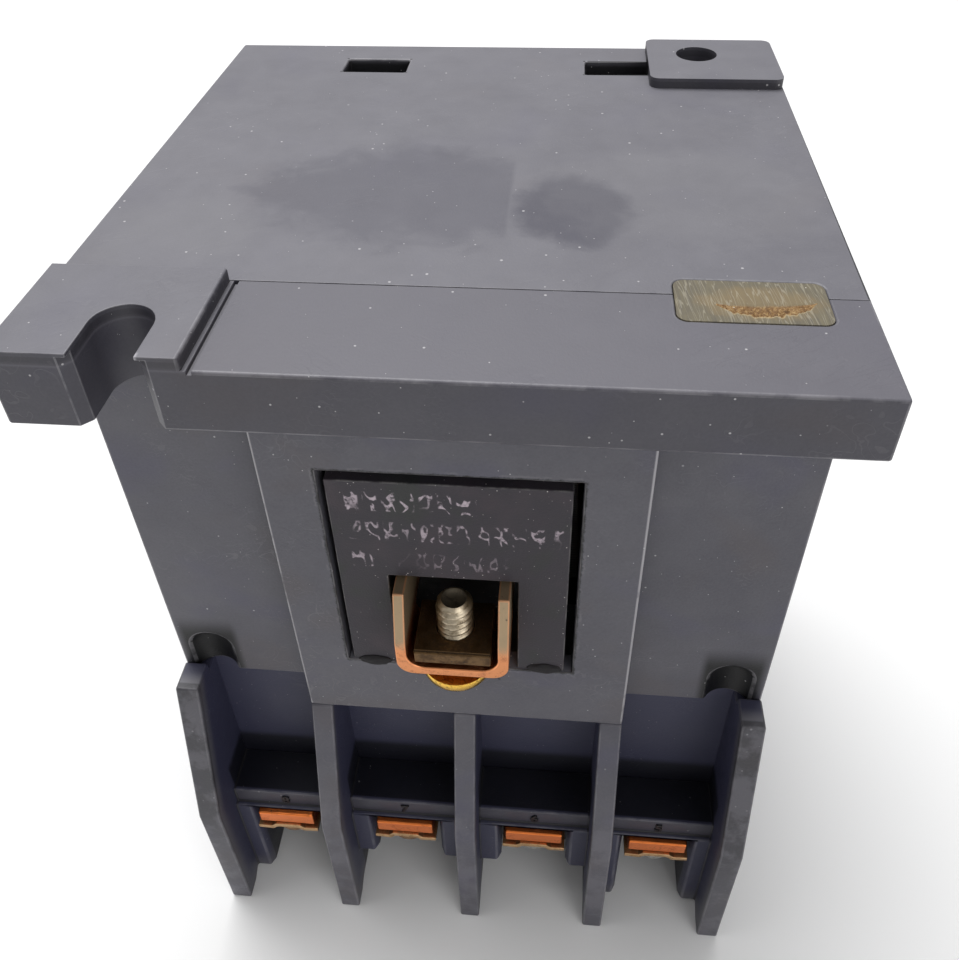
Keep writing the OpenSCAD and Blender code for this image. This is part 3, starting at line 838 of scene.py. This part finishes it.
def metal(name, bright, dull, grime_and_shade, amount=0.45, rough=0.3, size=1.6, brushed=None,
          zone=None, zone_colour=None):
    """Used metal: a bright ground, dull patches, and dirt with painted shade in the corners."""
    f = Finish(name)
    patches = f.cloud(size, 5, 0.65, 0.4)
    fine = f.cloud(size / 6, 3, 0.6)
    dulled = (patches + (fine - 0.5) * 0.5).rising(0.62 - amount * 0.4, 0.82 - amount * 0.3)
    colour = f.mix(dulled * 0.8, bright, dull)
    if zone:
        share = zone(f, fine)
        colour = f.mix(share * 0.85, colour, zone_colour)
        dulled = dulled | share
    stain = f.cloud(size * 0.7, 4, 0.7).rising(0.63, 0.72) * 0.8
    dirt = f.specks(size * 0.5, size * 0.12, 0.35) | stain
    rubbed, corner = f.wear()
    # Concave roundings take the dark colour too: dirt and painted shade in the corners.
    colour = f.mix((dirt * 0.7 | (corner * 0.8)) * (1.0 - rubbed * 0.6), colour, grime_and_shade)
    colour = f.mix(rubbed * 0.35, colour, tuple(min(1, c * 1.35) for c in bright[:3]) + (1,))
    height = patches * 0.5 + fine * 0.4 - dirt * 0.3
    if brushed:
        lines = f.cloud(0.12, 2, 0.5, 0.0, f.stretched(*brushed))
        height = height + lines * 0.4
        colour = f.mix(lines.rising(0.5, 0.75) * 0.2, colour, grime_and_shade)
    roughness = rough + dulled * 0.22 + dirt * 0.2
    metallic = 1.0 - (dirt * 0.5).clamped() - dulled * 0.15
    return f.done(colour, roughness, f.bump(height, 0.03), metallic)


def bracket_zone(f, fine):
    """Tarnished upper legs of the coil brackets."""
    return (f.z + (fine - 0.5) * 2.4).rising(68.2, 71.0)


def laminated(name):
    """Magnet steel with the lines of its stacked sheets."""
    f = Finish(name)
    lines = abs((f.y / 0.5).math("FRACT") - 0.5).rising(0.36, 0.48)
    patches = f.cloud(3, 4, 0.6)
    colour = f.mix(patches, paint(96, 96, 99), paint(142, 140, 136))
    rust = f.cloud(5, 5, 0.7).rising(0.6, 0.74)
    colour = f.mix(rust * 0.55, colour, paint(112, 74, 48))
    colour = f.mix(lines * 0.75, colour, paint(34, 33, 34))
    return f.done(colour, 0.42 + patches * 0.15, f.bump(patches * 0.3 - lines, 0.06),
                  1.0 - lines * 0.5)


def phenolic(name, low, high):
    """Brown and cream moulded insulators, mottled by their filler."""
    f = Finish(name, specular_ior_level=0.4)
    fibre = f.cloud(0.9, 5, 0.7, 0.8, f.stretched(2.4, 0.8, 1.0, 0.3))
    patches = f.cloud(7, 3)
    colour = f.mix((fibre * 0.7 + patches * 0.3).rising(0.3, 0.7), low, high)
    soot = f.cloud(4, 4, 0.6).rising(0.6, 0.75)
    colour = f.mix(soot * 0.4, colour, paint(28, 25, 23))
    return f.done(colour, 0.5 + (fibre - 0.5) * 0.2, f.bump(fibre, 0.04))


def scar_finish(settings):
    """Resin ground back to its filler, with brush marks and a torn pit."""
    f = Finish("ground_gate", specular_ior_level=0.3)
    streaks = f.cloud(0.5, 3, 0.6, 0.1, f.stretched(0.5, 9, 1, 0.1))
    mottle = f.cloud(1.6, 5, 0.65)
    tone = (streaks - 0.5) * 1.3 + (mottle - 0.5) * 0.7 + 0.5
    colour = f.mix(tone.clamped(), paint(88, 84, 78), settings.colour)
    middle = smudge(f, 29.5, -27.3, 6.4, 3.0, mottle)
    colour = f.mix(middle * 0.55, colour, paint(134, 116, 84))
    lines = f.strands(0.6, 0.03, f.stretched(0.6, 7, 1, 0.12), 0.2)
    colour = f.mix(lines * 0.35, colour, paint(172, 166, 150))
    torn = f.attribute("torn")
    fibres = f.cloud(0.35, 5, 0.75, 1.0)
    inner = f.ramp(fibres, (0.3, paint(70, 48, 26)), (0.5, paint(128, 96, 58)),
                   (0.68, settings.torn))
    colour = f.mix(torn.rising(0.1, 0.35), colour, inner)
    rim = f.attribute("rim")
    colour = f.mix(rim * 0.9, colour, paint(206, 182, 140))
    dust = f.specks(0.9, 0.09, 0.35)
    colour = f.mix(dust * 0.8, colour, paint(214, 208, 196))
    height = streaks * 0.7 + mottle * 0.4 + fibres * torn
    return f.done(colour, 0.62 + (streaks - 0.5) * 0.2, f.bump(height, 0.06))


def floor_finish(settings):
    """Matt, nearly white table top."""
    f = Finish("pale_floor", specular_ior_level=0.2)
    haze = f.cloud(160, 3, 0.5)
    tone = tuple(c * 0.97 for c in settings.floor[:3]) + (1,)
    return f.done(f.mix(haze, tone, settings.floor), 0.75 + (haze - 0.5) * 0.1)


# ---- Operators -----------------------------------------------------------


class CONTACTOR_OT_mouldings(bpy.types.Operator):
    """Base plate, coil housing, contact block and cover with softened edges"""

    bl_idname = "contactor.mouldings"
    bl_label = "Mouldings"

    def execute(self, context):
        own = context.scene.contactor_mouldings
        edge, seam = own.edge_radius, own.seam_radius
        load, join = LOAD_EDGE / MM, SEAM / MM
        top = BASE_TOP / MM
        scar = scar_cutter(context.scene.contactor_scar)
        base = carved(node_copy("base_plate"), scar)
        base = softened(base, edge, [
            ((-41, join - 0.2, 100), (41, join + 0.2, 118), seam),
            ((21, 24, top - 0.1), (41, 42, top + 3), 0.0)])
        piece("base_plate_moulding", base, moulded("base_black", own, extras=base_extras),
              "frame", "moulding", "base_plate")
        groove = box_mesh((-21.45, load - 1, top - 0.4), (-20.95, join + 1, top + 0.5))
        housing = carved(carved(node_copy("coil_housing"), scar), groove)
        housing = softened(housing, edge, [
            ((-41, join - 0.3, 100), (41, join + 0.1, 118), seam),
            ((-15, -33, 60), (14.5, 33, 95), 0.14),
            ((-22, load - 1, top - 0.5), (-20.5, join + 1, top + 0.1), 0.07),
            ((-36.5, load - 0.2, 100), (-22.5, load + 13, top + 2), 0.1)])
        piece("coil_housing_moulding", housing,
              moulded("housing_black", own, extras=housing_extras),
              "frame", "moulding", "coil_housing")
        recess = moulded("block_black", own, 1.0, block_extras, 0.2, 0.2)
        joint = [((-41, side * BLOCK_END - 0.3, -1), (41, side * BLOCK_END + 0.3, 60), seam)
                 for side in (-1, 1)]
        for node in ("contact_block", "terminal_guards"):
            piece(f"{node}_moulding", softened(node_copy(node), edge * 0.9, joint), recess,
                  "frame", "moulding", node)
        refit("arc_cover_moulding", "arc_cover", edge * 0.7, moulded("cover_black", own),
              "frame", "moulding")
        return {"FINISHED"}


def scar_cutter(settings, grow=0.0):
    """The shallow pocket of the ground gate."""
    half_x, half_y = settings.length / 2 + grow, settings.width / 2 + grow
    top = BASE_TOP / MM
    return box_mesh((SCAR_X - half_x, SCAR_Y - half_y, top - 0.85),
                    (SCAR_X + half_x, SCAR_Y + half_y, top + 0.6), 1.1)


class CONTACTOR_OT_gate_scar(bpy.types.Operator):
    """Ground-off moulding gate with its torn pit"""

    bl_idname = "contactor.gate_scar"
    bl_label = "Gate scar"

    def execute(self, context):
        own = context.scene.contactor_scar
        top = BASE_TOP / MM
        half_x, half_y = own.length / 2 + 0.5, own.width / 2 + 0.5
        across, along = 170, 90
        bm = bmesh.new()
        grid = []
        for i in range(across + 1):
            px = SCAR_X - half_x + 2 * half_x * i / across
            row = []
            for j in range(along + 1):
                py = SCAR_Y - half_y + 2 * half_y * j / along
                height = top - 0.02 + self.relief(px, py, own)[0]
                row.append(bm.verts.new(mm(px, py, height)))
            grid.append(row)
        for i in range(across):
            for j in range(along):
                bm.faces.new((grid[i][j], grid[i + 1][j], grid[i + 1][j + 1], grid[i][j + 1]))
        rim = [e for e in bm.edges if e.is_boundary]
        low = bmesh.ops.extrude_edge_only(bm, edges=rim)["geom"]
        for vert in (v for v in low if isinstance(v, bmesh.types.BMVert)):
            vert.co.z = (top - 0.84) * MM
        bmesh.ops.contextual_create(bm, geom=[e for e in bm.edges if e.is_boundary])
        bmesh.ops.recalc_face_normals(bm, faces=bm.faces[:])
        mesh = carved(from_bmesh(bm, "scar"), scar_cutter(own, -0.02), "INTERSECT")
        torn = mesh.attributes.new("torn", "FLOAT", "POINT")
        rim = mesh.attributes.new("rim", "FLOAT", "POINT")
        for vert, deep, lip in zip(mesh.vertices, torn.data, rim.data):
            _, deep.value, lip.value = self.relief(vert.co.x / MM, vert.co.y / MM, own)
        mesh.set_sharp_from_angle(angle=CREASE)
        smooth(mesh)
        piece("gate_scar", mesh, scar_finish(own), "frame", "moulding")
        return {"FINISHED"}

    @staticmethod
    def relief(x, y, own):
        """Height, torn share and rim share at a point of the patch."""
        across = (x - 30.1) / 4.7
        wander = noise.noise(Vector((x * 1.4, y * 1.4, 3.0))) * 0.16
        if abs(across) >= 1:
            return noise.noise(Vector((x * 2.2, y * 0.7, 0))) * 0.012, 0.0, 0.0
        bow = (1 - across * across) ** 0.75
        upper = -27.35 + wander + 0.25 * across
        lower = upper - 2.25 * bow + 0.4 * noise.noise(Vector((x * 2.1, 7.0, 0)))
        share = (upper - y) / max(upper - lower, 0.05)
        rough = noise.noise(Vector((x * 5.5, y * 5.5, 1.0))) * 0.16
        if 0 < share < 1:
            cup = min(1.0, share * 1.4) * min(1.0, (1 - share) * 7)
            deep = own.depth * cup * bow + rough * cup
            return -deep, cup, max(0.0, 1 - (1 - share) * 6) * 0.8
        beyond = max(0.0, 1 - abs(y - lower) / 0.22) if y < lower else 0.0
        return 0.06 * beyond * bow, 0.0, beyond * 0.8 * bow


class CONTACTOR_OT_coil_case(bpy.types.Operator):
    """Coil case with worn ink rows, its pockets and the two sill lugs at each end"""

    bl_idname = "contactor.coil_case"
    bl_label = "Coil case"

    def execute(self, context):
        own = context.scene.contactor_coil
        refit("coil_case_moulding", "coil_case", 0.16, case_finish(own), "frame", "coil_case")
        lugs = bmesh.new()
        rng = random.Random(4)
        for side in (-1, 1):
            for x, z, half in ((-11.2, 60.35, 2.2), (10.6, 60.75, 2.2)):
                found = bmesh.ops.create_icosphere(lugs, subdivisions=4, radius=1.0)["verts"]
                phase = rng.random() * 50
                for vert in found:
                    lump = noise.noise(vert.co * 2.3 + Vector((phase, 0, 0))) * 0.12
                    size = 1 + lump
                    vert.co = mm(x + vert.co.x * half * size,
                                 side * 32.0 + vert.co.y * 0.42 * size,
                                 z + vert.co.z * 0.95 * size)
        mesh = from_bmesh(lugs, "lugs")
        smooth(mesh)
        piece("coil_case_lugs", mesh, dark_plastic("lug_grime", paint(22, 20, 22), 0.7),
              "frame", "coil_case")
        return {"FINISHED"}


class CONTACTOR_OT_coil_terminals(bpy.types.Operator):
    """Bracket, square nut and threaded dome-head screw at each end of the coil"""

    bl_idname = "contactor.coil_terminals"
    bl_label = "Coil terminals"

    def execute(self, context):
        own = context.scene.contactor_coil
        strip = metal("bracket_copper", own.copper, paint(178, 112, 76), paint(58, 44, 32),
                      0.35, 0.3, 1.3, zone=bracket_zone, zone_colour=paint(158, 148, 122))
        nut = metal("nut_brown", paint(112, 88, 60), paint(70, 52, 36), paint(30, 22, 16),
                    0.6, 0.42, 1.8)
        thread = self.screw_finish(own)
        for end in ("front", "rear"):
            refit(f"coil_bracket_{end}_strip", f"coil_bracket_{end}", 0.2, strip, "frame",
                  "bracket", 3)
            low, high = (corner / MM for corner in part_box(f"coil_nut_{end}"))
            outer = low.y if end == "front" else high.y
            groove = box_mesh((low.x - 1, outer - 0.12, low.z + 1.9),
                              (high.x + 1, outer + 0.12, low.z + 2.15))
            block = softened(carved(node_copy(f"coil_nut_{end}"), groove), 0.18)
            piece(f"coil_nut_{end}_block", block, nut, f"coil_nut_{end}", "dark_nut",
                  f"coil_nut_{end}")
            low, high = (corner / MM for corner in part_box(f"coil_screw_{end}"))
            middle = (low + high) / 2
            mesh = screw_mesh(low.z, low.z + 3.68, 4.68, 3.05, 2.28, high.z,
                              own.thread_pitch, low.z + 5.0)
            piece(f"coil_screw_{end}_threaded", moved(mesh, mm(middle.x, middle.y, 0)), thread,
                  f"coil_screw_{end}", "brass_screw", f"coil_screw_{end}")
        return {"FINISHED"}

    @staticmethod
    def screw_finish(own):
        """Greasy brass head and a grimy plated thread on one screw."""
        f = Finish("coil_screw_metal")
        patches = f.cloud(1.4, 5, 0.65, 0.5)
        fine = f.cloud(0.25, 3, 0.6)
        brass = f.mix(patches.rising(0.5, 0.72) * 0.6, own.brass, paint(176, 124, 44))
        grease = f.strands(1.7, 0.05, None, 1.5) * patches.rising(0.4, 0.6)
        brass = f.mix(grease * 0.6, brass, paint(70, 44, 18))
        plate = f.mix(patches.rising(0.42, 0.66) * 0.7, paint(206, 192, 168), paint(128, 112, 88))
        soot = (patches + (fine - 0.5) * 0.8).rising(0.66, 0.78)
        plate = f.mix(soot * 0.85, plate, paint(36, 27, 19))
        shank = f.z.rising(64.3, 64.8)
        colour = f.mix(shank, brass, plate)
        roughness = 0.2 + shank * 0.14 + patches * 0.12 + soot * shank * 0.3
        return f.done(colour, roughness, f.bump(patches * 0.6 + fine * 0.4, 0.04),
                      1.0 - soot * shank * 0.6)


class CONTACTOR_OT_pole_terminals(bpy.types.Operator):
    """Terminal bars, clamp plates, threaded screws and numbers of the eight terminals"""

    bl_idname = "contactor.pole_terminals"
    bl_label = "Pole terminals"

    def execute(self, context):
        own = context.scene.contactor_poles
        bar = metal("bar_copper", own.bar, paint(186, 98, 54), paint(84, 48, 28),
                    0.3, 0.32, 1.7, brushed=(8, 0.6, 0.6))
        plate = metal("plate_tan", own.plate, paint(150, 118, 82), paint(62, 46, 32),
                      0.5, 0.36, 1.2)
        heads = {
            True: metal("head_brown", paint(158, 124, 88), paint(108, 76, 50),
                        paint(46, 32, 22), 0.6, 0.36, 1.3),
            False: metal("head_grey", paint(178, 176, 170), paint(128, 124, 116),
                         paint(52, 46, 40), 0.5, 0.34, 1.3),
        }
        low, high = (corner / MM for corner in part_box("terminal_screw_8"))
        screw = screw_mesh(low.z, low.z + 4.38, 3.58, 2.8, 1.73, high.z, own.thread_pitch,
                           slot=(1.0, 1.2))
        for n in POLE_NUMBERS:
            refit(f"terminal_{n}_bar", f"terminal_{n}", 0.3, bar, "frame",
                  "terminal_copper", 3)
            refit(f"clamp_plate_{n}_strip", f"clamp_plate_{n}", 0.13, plate, f"clamp_{n}",
                  "clamp_plate")
            low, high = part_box(f"terminal_screw_{n}")
            middle = (low + high) / 2
            brown = middle.x < 0
            mesh = moved(screw, Vector((middle.x, middle.y, 0)))
            piece(f"terminal_screw_{n}_threaded", mesh, heads[brown], f"screw_{n}",
                  "terminal_screw", f"terminal_screw_{n}")
        self.numbers(own)
        return {"FINISHED"}

    @staticmethod
    def numbers(own):
        """Raised terminal numbers on the ledges."""
        ink = dark_plastic("numeral_black", paint(20, 19, 22), 0.45)
        for side, group, names in ((-1, (5, 6, 7, 8), "load"), (1, (1, 2, 3, 4), "line")):
            meshes = []
            for n in group:
                low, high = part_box(f"terminal_{n}")
                letter = bpy.data.curves.new("numeral", "FONT")
                letter.body = str(n)
                letter.size = own.numeral * 1.4 * MM
                letter.extrude = 0.16 * MM
                letter.offset = 0.04 * MM
                letter.bevel_depth = 0.05 * MM
                letter.bevel_resolution = 1
                letter.align_x, letter.align_y = "CENTER", "CENTER"
                holder = bpy.data.objects.new("numeral", letter)
                bpy.context.scene.collection.objects.link(holder)
                mesh = plain(holder)
                turn = Matrix.Rotation(math.pi if side > 0 else 0, 4, "Z")
                stand = Matrix.Rotation(math.pi / 2, 4, "X")
                spot = Matrix.Translation(((low.x + high.x) / 2, side * 33.05 * MM, 23.0 * MM))
                mesh.transform(spot @ turn @ stand)
                meshes.append(mesh)
            piece(f"{names}_numbers", joined(*meshes), ink, "frame", "moulding")


class CONTACTOR_OT_fasteners(bpy.types.Operator):
    """Case screws and core rivets"""

    bl_idname = "contactor.fasteners"
    bl_label = "Fasteners"

    def execute(self, context):
        zinc = metal("zinc_plate", paint(172, 172, 168), paint(126, 122, 112),
                     paint(58, 52, 44), 0.5, 0.34, 1.4)
        for node, radius in (("case_screws", 0.14), ("core_rivets", 0.2)):
            refit(f"{node}_set", node, radius, zinc, "frame", "zinc_steel")
        return {"FINISHED"}


class CONTACTOR_OT_magnet(bpy.types.Operator):
    """Magnet, armature, winding, bobbin, cushions and return springs"""

    bl_idname = "contactor.magnet"
    bl_label = "Magnet"

    def execute(self, context):
        own = context.scene.contactor_magnet
        stack = laminated("lamination_steel")
        refit("magnet_core_stack", "magnet_core", 0.2, stack, "frame", "lamination")
        refit("armature_stack", "armature", 0.2, stack, "carrier", "lamination")
        dress("armature_pin", metal("pin_steel", paint(182, 182, 180), paint(130, 126, 118),
                                    paint(60, 54, 46), 0.4, 0.3))
        dress("shading_rings", metal("ring_copper", paint(214, 134, 88), paint(160, 96, 62),
                                     paint(70, 46, 30), 0.4, 0.3))
        refit("core_cushion_pads", "core_cushions", 0.4,
              dark_plastic("cushion_rubber", paint(30, 29, 30), 0.8), "frame", "rubber", 3)
        refit("coil_bobbin_former", "coil_bobbin", 0.2,
              phenolic("bobbin_cream", paint(170, 156, 122), paint(206, 196, 168)),
              "frame", "bobbin")
        self.winding(own)
        spring = metal("spring_wire", paint(176, 176, 176), paint(128, 126, 120),
                       paint(58, 54, 48), 0.35, 0.28, 0.8)
        low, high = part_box("return_springs")
        radius = 3.2 - 0.35
        meshes = [spring_mesh((side * (high.x / MM - 3.2), 0, low.z / MM), radius, 0.34,
                              (high.z - low.z) / MM, own.turns, spring) for side in (-1, 1)]
        coils = piece("return_spring_coils", joined(*meshes), spring, "frame",
                      "spring_steel", "return_springs")
        travel = joint_span("armature_pull")
        height = high.z - low.z
        (height - travel) / height
        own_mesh(coils)
        return {"FINISHED"}

    @staticmethod
    def winding(own):
        """Enamelled wire wound on the bobbin, one rounded loop for each turn in height."""
        low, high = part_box("coil_winding")
        wire = metal("enamelled_wire", paint(176, 92, 48), paint(132, 62, 34),
                     paint(70, 34, 22), 0.3, 0.26, 2.4)
        pitch = (high.z - low.z) / own.layers
        bm = bmesh.new()
        sides = 6
        corner, outer_x, outer_y = 2.5 * MM, high.x - 0.05 * MM, high.y - 0.05 * MM
        path = []
        for cx, cy, start in ((1, 1, 0), (-1, 1, 1), (-1, -1, 2), (1, -1, 3)):
            for k in range(7):
                angle = (start + k / 6) * math.pi / 2
                path.append((cx * (outer_x - corner), cy * (outer_y - corner), angle))
        loops = []
        for x, y, angle in path:
            loop = []
            for k in range(sides):
                turn = math.tau * k / sides
                reach = corner - pitch / 2 * (1 - math.cos(turn))
                loop.append(bm.verts.new((x + reach * math.cos(angle), y + reach * math.sin(angle),
                                          pitch / 2 * math.sin(turn))))
            loops.append(loop)
        for i, loop in enumerate(loops):
            after = loops[(i + 1) % len(loops)]
            for k in range(sides):
                j = (k + 1) % sides
                bm.faces.new((loop[k], after[k], after[j], loop[j]))
        bmesh.ops.recalc_face_normals(bm, faces=bm.faces[:])
        turn = from_bmesh(bm, "turn")
        recipe = Recipe("wound_turns", count="number", pitch="length", start="length",
                        material="material")
        up = recipe.add("ShaderNodeCombineXYZ", None, {"Z": recipe.given("pitch")})
        start = recipe.add("ShaderNodeCombineXYZ", None, {"Z": recipe.given("start")})
        line = recipe.add("GeometryNodeMeshLine", {"mode": "OFFSET"}, {
            "Count": recipe.given("count"), "Start Location": start, "Offset": up})
        turns = recipe.add("GeometryNodeInstanceOnPoints", None,
                           {"Points": line, "Instance": recipe.given("geometry")})
        mesh = recipe.finish(turns).make(turn, count=own.layers, pitch=pitch,
                                         start=low.z + pitch / 2, material=wire)
        core = modified(node_copy("coil_winding"), ("DISPLACE", {"strength": -0.2 * MM,
                                                                "mid_level": 0.0}))
        mesh = joined(mesh, core)
        smooth(mesh)
        mesh.set_sharp_from_angle(angle=CREASE)
        piece("coil_winding_wire", mesh, wire, "frame", "winding", "coil_winding")


def spring_mesh(foot, radius, wire, height, turns, material):
    """A coil spring from its foot upwards; its sizes are in millimetres."""
    recipe = Recipe("coil_spring", radius="length", wire="length", height="length",
                    turns="length", foot="place", material="material")
    path = recipe.add("GeometryNodeCurveSpiral", None, {
        "Resolution": 20, "Rotations": recipe.given("turns"),
        "Start Radius": recipe.given("radius"), "End Radius": recipe.given("radius"),
        "Height": recipe.given("height")})
    ring = recipe.add("GeometryNodeCurvePrimitiveCircle", None,
                      {"Resolution": 8, "Radius": recipe.given("wire")})
    tube = recipe.add("GeometryNodeCurveToMesh", None,
                      {"Curve": path, "Profile Curve": ring, "Fill Caps": True})
    stood = recipe.add("GeometryNodeTransform", None,
                       {"Geometry": tube, "Translation": recipe.given("foot")})
    mesh = recipe.finish(stood).make(
        radius=radius * MM, wire=wire * MM, height=(height - 2 * wire) * MM,
        turns=float(turns), foot=mm(foot[0], foot[1], foot[2] + wire), material=material)
    bm = bmesh.new()
    bm.from_mesh(mesh)
    bmesh.ops.recalc_face_normals(bm, faces=bm.faces[:])
    for face in bm.faces:
        face.smooth = True
    return from_bmesh(bm, "spring")


def joint_span(name):
    """How far a sliding joint moves from rest, in metres."""
    joint = next(j for j in frame["joints"] if j["name"] == name)
    low, high = joint["range_m"]
    return max(abs(low), abs(high))


class CONTACTOR_OT_moving_contacts(bpy.types.Operator):
    """Contact carrier, bridges, silver tips and contact springs"""

    bl_idname = "contactor.moving_contacts"
    bl_label = "Moving contacts"

    def execute(self, context):
        own = context.scene.contactor_magnet
        refit("contact_carrier_moulding", "contact_carrier", 0.2,
              phenolic("carrier_brown", paint(74, 52, 38), paint(112, 84, 62)), "carrier",
              "carrier")
        copper = metal("bridge_copper", paint(206, 128, 84), paint(150, 88, 58),
                       paint(52, 36, 26), 0.5, 0.34)
        silver = metal("contact_silver", paint(222, 222, 220), paint(160, 158, 154),
                       paint(58, 54, 52), 0.5, 0.3, 1.2)
        spring = metal("contact_spring_wire", paint(176, 176, 176), paint(128, 126, 120),
                       paint(58, 54, 48), 0.35, 0.28, 0.8)
        refit("fixed_tip_faces", "fixed_tips", 0.15, silver, "frame", "silver")
        for n in range(1, 5):
            refit(f"moving_bridge_{n}_bar", f"moving_bridge_{n}", 0.2, copper,
                  f"bridge_{n}", "copper")
            refit(f"bridge_tips_{n}_faces", f"bridge_tips_{n}", 0.15, silver,
                  f"bridge_{n}", "silver")
            low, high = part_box(f"contact_spring_{n}")
            middle = (low + high) / 2
            height = high.z - low.z
            mesh = spring_mesh((middle.x / MM, 0, low.z / MM), 2.3, 0.28, height / MM,
                               own.contact_turns, spring)
            coils = piece(f"contact_spring_{n}_coils", mesh, spring, "carrier",
                          "spring_steel", f"contact_spring_{n}")
            give = joint_span(f"bridge_{n}_overtravel")
            (height - give) / height
            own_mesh(coils)
        return {"FINISHED"}


class CONTACTOR_OT_stage(bpy.types.Operator):
    """Pale floor, soft studio light and the camera"""

    bl_idname = "contactor.stage"
    bl_label = "Stage"

    def execute(self, context):
        own = context.scene.contactor_stage
        bm = bmesh.new()
        bmesh.ops.create_circle(bm, cap_ends=True, radius=2.5, segments=96)
        mesh = from_bmesh(bm, "floor")
        mesh.transform(Matrix.Translation((0, 0, CAD_BOX[0].z)))
        mesh.materials.append(floor_finish(own))
        floor = bpy.data.objects.new("floor", mesh)
        context.scene.collection.objects.link(floor)
        for name, power, size, spot, aim in (
                ("key", own.key, 0.9, (-0.25, 0.35, 1.15), (0, 0, 0.08)),
                ("fill", own.key * 0.16, 0.6, (0.55, -0.75, 0.5), (0, 0, 0.07))):
            lamp = bpy.data.lights.new(name, "AREA")
            lamp.energy, lamp.size = power, size
            light = bpy.data.objects.new(name, lamp)
            light.location = spot
            light.rotation_mode = "QUATERNION"
            light.rotation_quaternion = (Vector(aim) - Vector(spot)).to_track_quat("-Z", "Y")
            context.scene.collection.objects.link(light)
        world = bpy.data.worlds.new("studio")
        world.use_nodes = True
        sky = world.node_tree.nodes["Background"]
        sky.inputs["Color"].default_value = (1.0, 1.0, 1.0, 1.0)
        sky.inputs["Strength"].default_value = own.sky
        context.scene.world = world
        self.camera(context)
        context.scene.view_settings.view_transform = "Standard"
        return {"FINISHED"}

    @staticmethod
    def camera(context):
        lens = bpy.data.cameras.new("camera")
        lens.sensor_width = 36.0
        lens.sensor_fit = "AUTO"
        lens.lens = 34.93
        lens.shift_x, lens.shift_y = -0.0034, -0.0927
        lens.clip_start, lens.clip_end = 0.01, 20.0
        eye = bpy.data.objects.new("camera", lens)
        right = Vector((0.99597, 0.08754, -0.01950))
        down = Vector((0.04038, -0.63184, -0.77405))
        ahead = Vector((-0.08008, 0.77014, -0.63282))
        turn = Matrix((right, -down, -ahead)).transposed()
        eye.matrix_world = Matrix.Translation(mm(10.92, -102.19, 163.98)) @ turn.to_4x4()
        context.scene.collection.objects.link(eye)
        context.scene.camera = eye


# ---- Panel and registration ----------------------------------------------


OPERATORS = (
    CONTACTOR_OT_stage,
    CONTACTOR_OT_mouldings,
    CONTACTOR_OT_gate_scar,
    CONTACTOR_OT_coil_case,
    CONTACTOR_OT_coil_terminals,
    CONTACTOR_OT_pole_terminals,
    CONTACTOR_OT_fasteners,
    CONTACTOR_OT_magnet,
    CONTACTOR_OT_moving_contacts,
)

SETTINGS = {
    "contactor_mouldings": MouldingSettings,
    "contactor_scar": ScarSettings,
    "contactor_coil": CoilSettings,
    "contactor_poles": PoleSettings,
    "contactor_magnet": MagnetSettings,
    "contactor_stage": StageSettings,
}


class CONTACTOR_PT_build(bpy.types.Panel):
    """Lists the pieces of the contactor and their settings"""

    bl_idname = "CONTACTOR_PT_build"
    bl_label = "Contactor"
    bl_space_type = "VIEW_3D"
    bl_region_type = "UI"
    bl_category = "Contactor"

    def draw(self, context):
        for operator in OPERATORS:
            self.layout.operator(operator.bl_idname)
        for name, group in SETTINGS.items():
            box = self.layout.box()
            for prop in group.__annotations__:
                box.prop(getattr(context.scene, name), prop)


def register():
    for group in (*SETTINGS.values(), *OPERATORS, CONTACTOR_PT_build):
        bpy.utils.register_class(group)
    for name, group in SETTINGS.items():
        setattr(bpy.types.Scene, name, PointerProperty(type=group))


def unregister():
    for name in SETTINGS:
        delattr(bpy.types.Scene, name)
    for group in reversed((*SETTINGS.values(), *OPERATORS, CONTACTOR_PT_build)):
        bpy.utils.unregister_class(group)


def main():
    register()
    for operator in OPERATORS:
        group, name = operator.bl_idname.split(".")
        getattr(getattr(bpy.ops, group), name)()


if __name__ == "__main__":
    main()
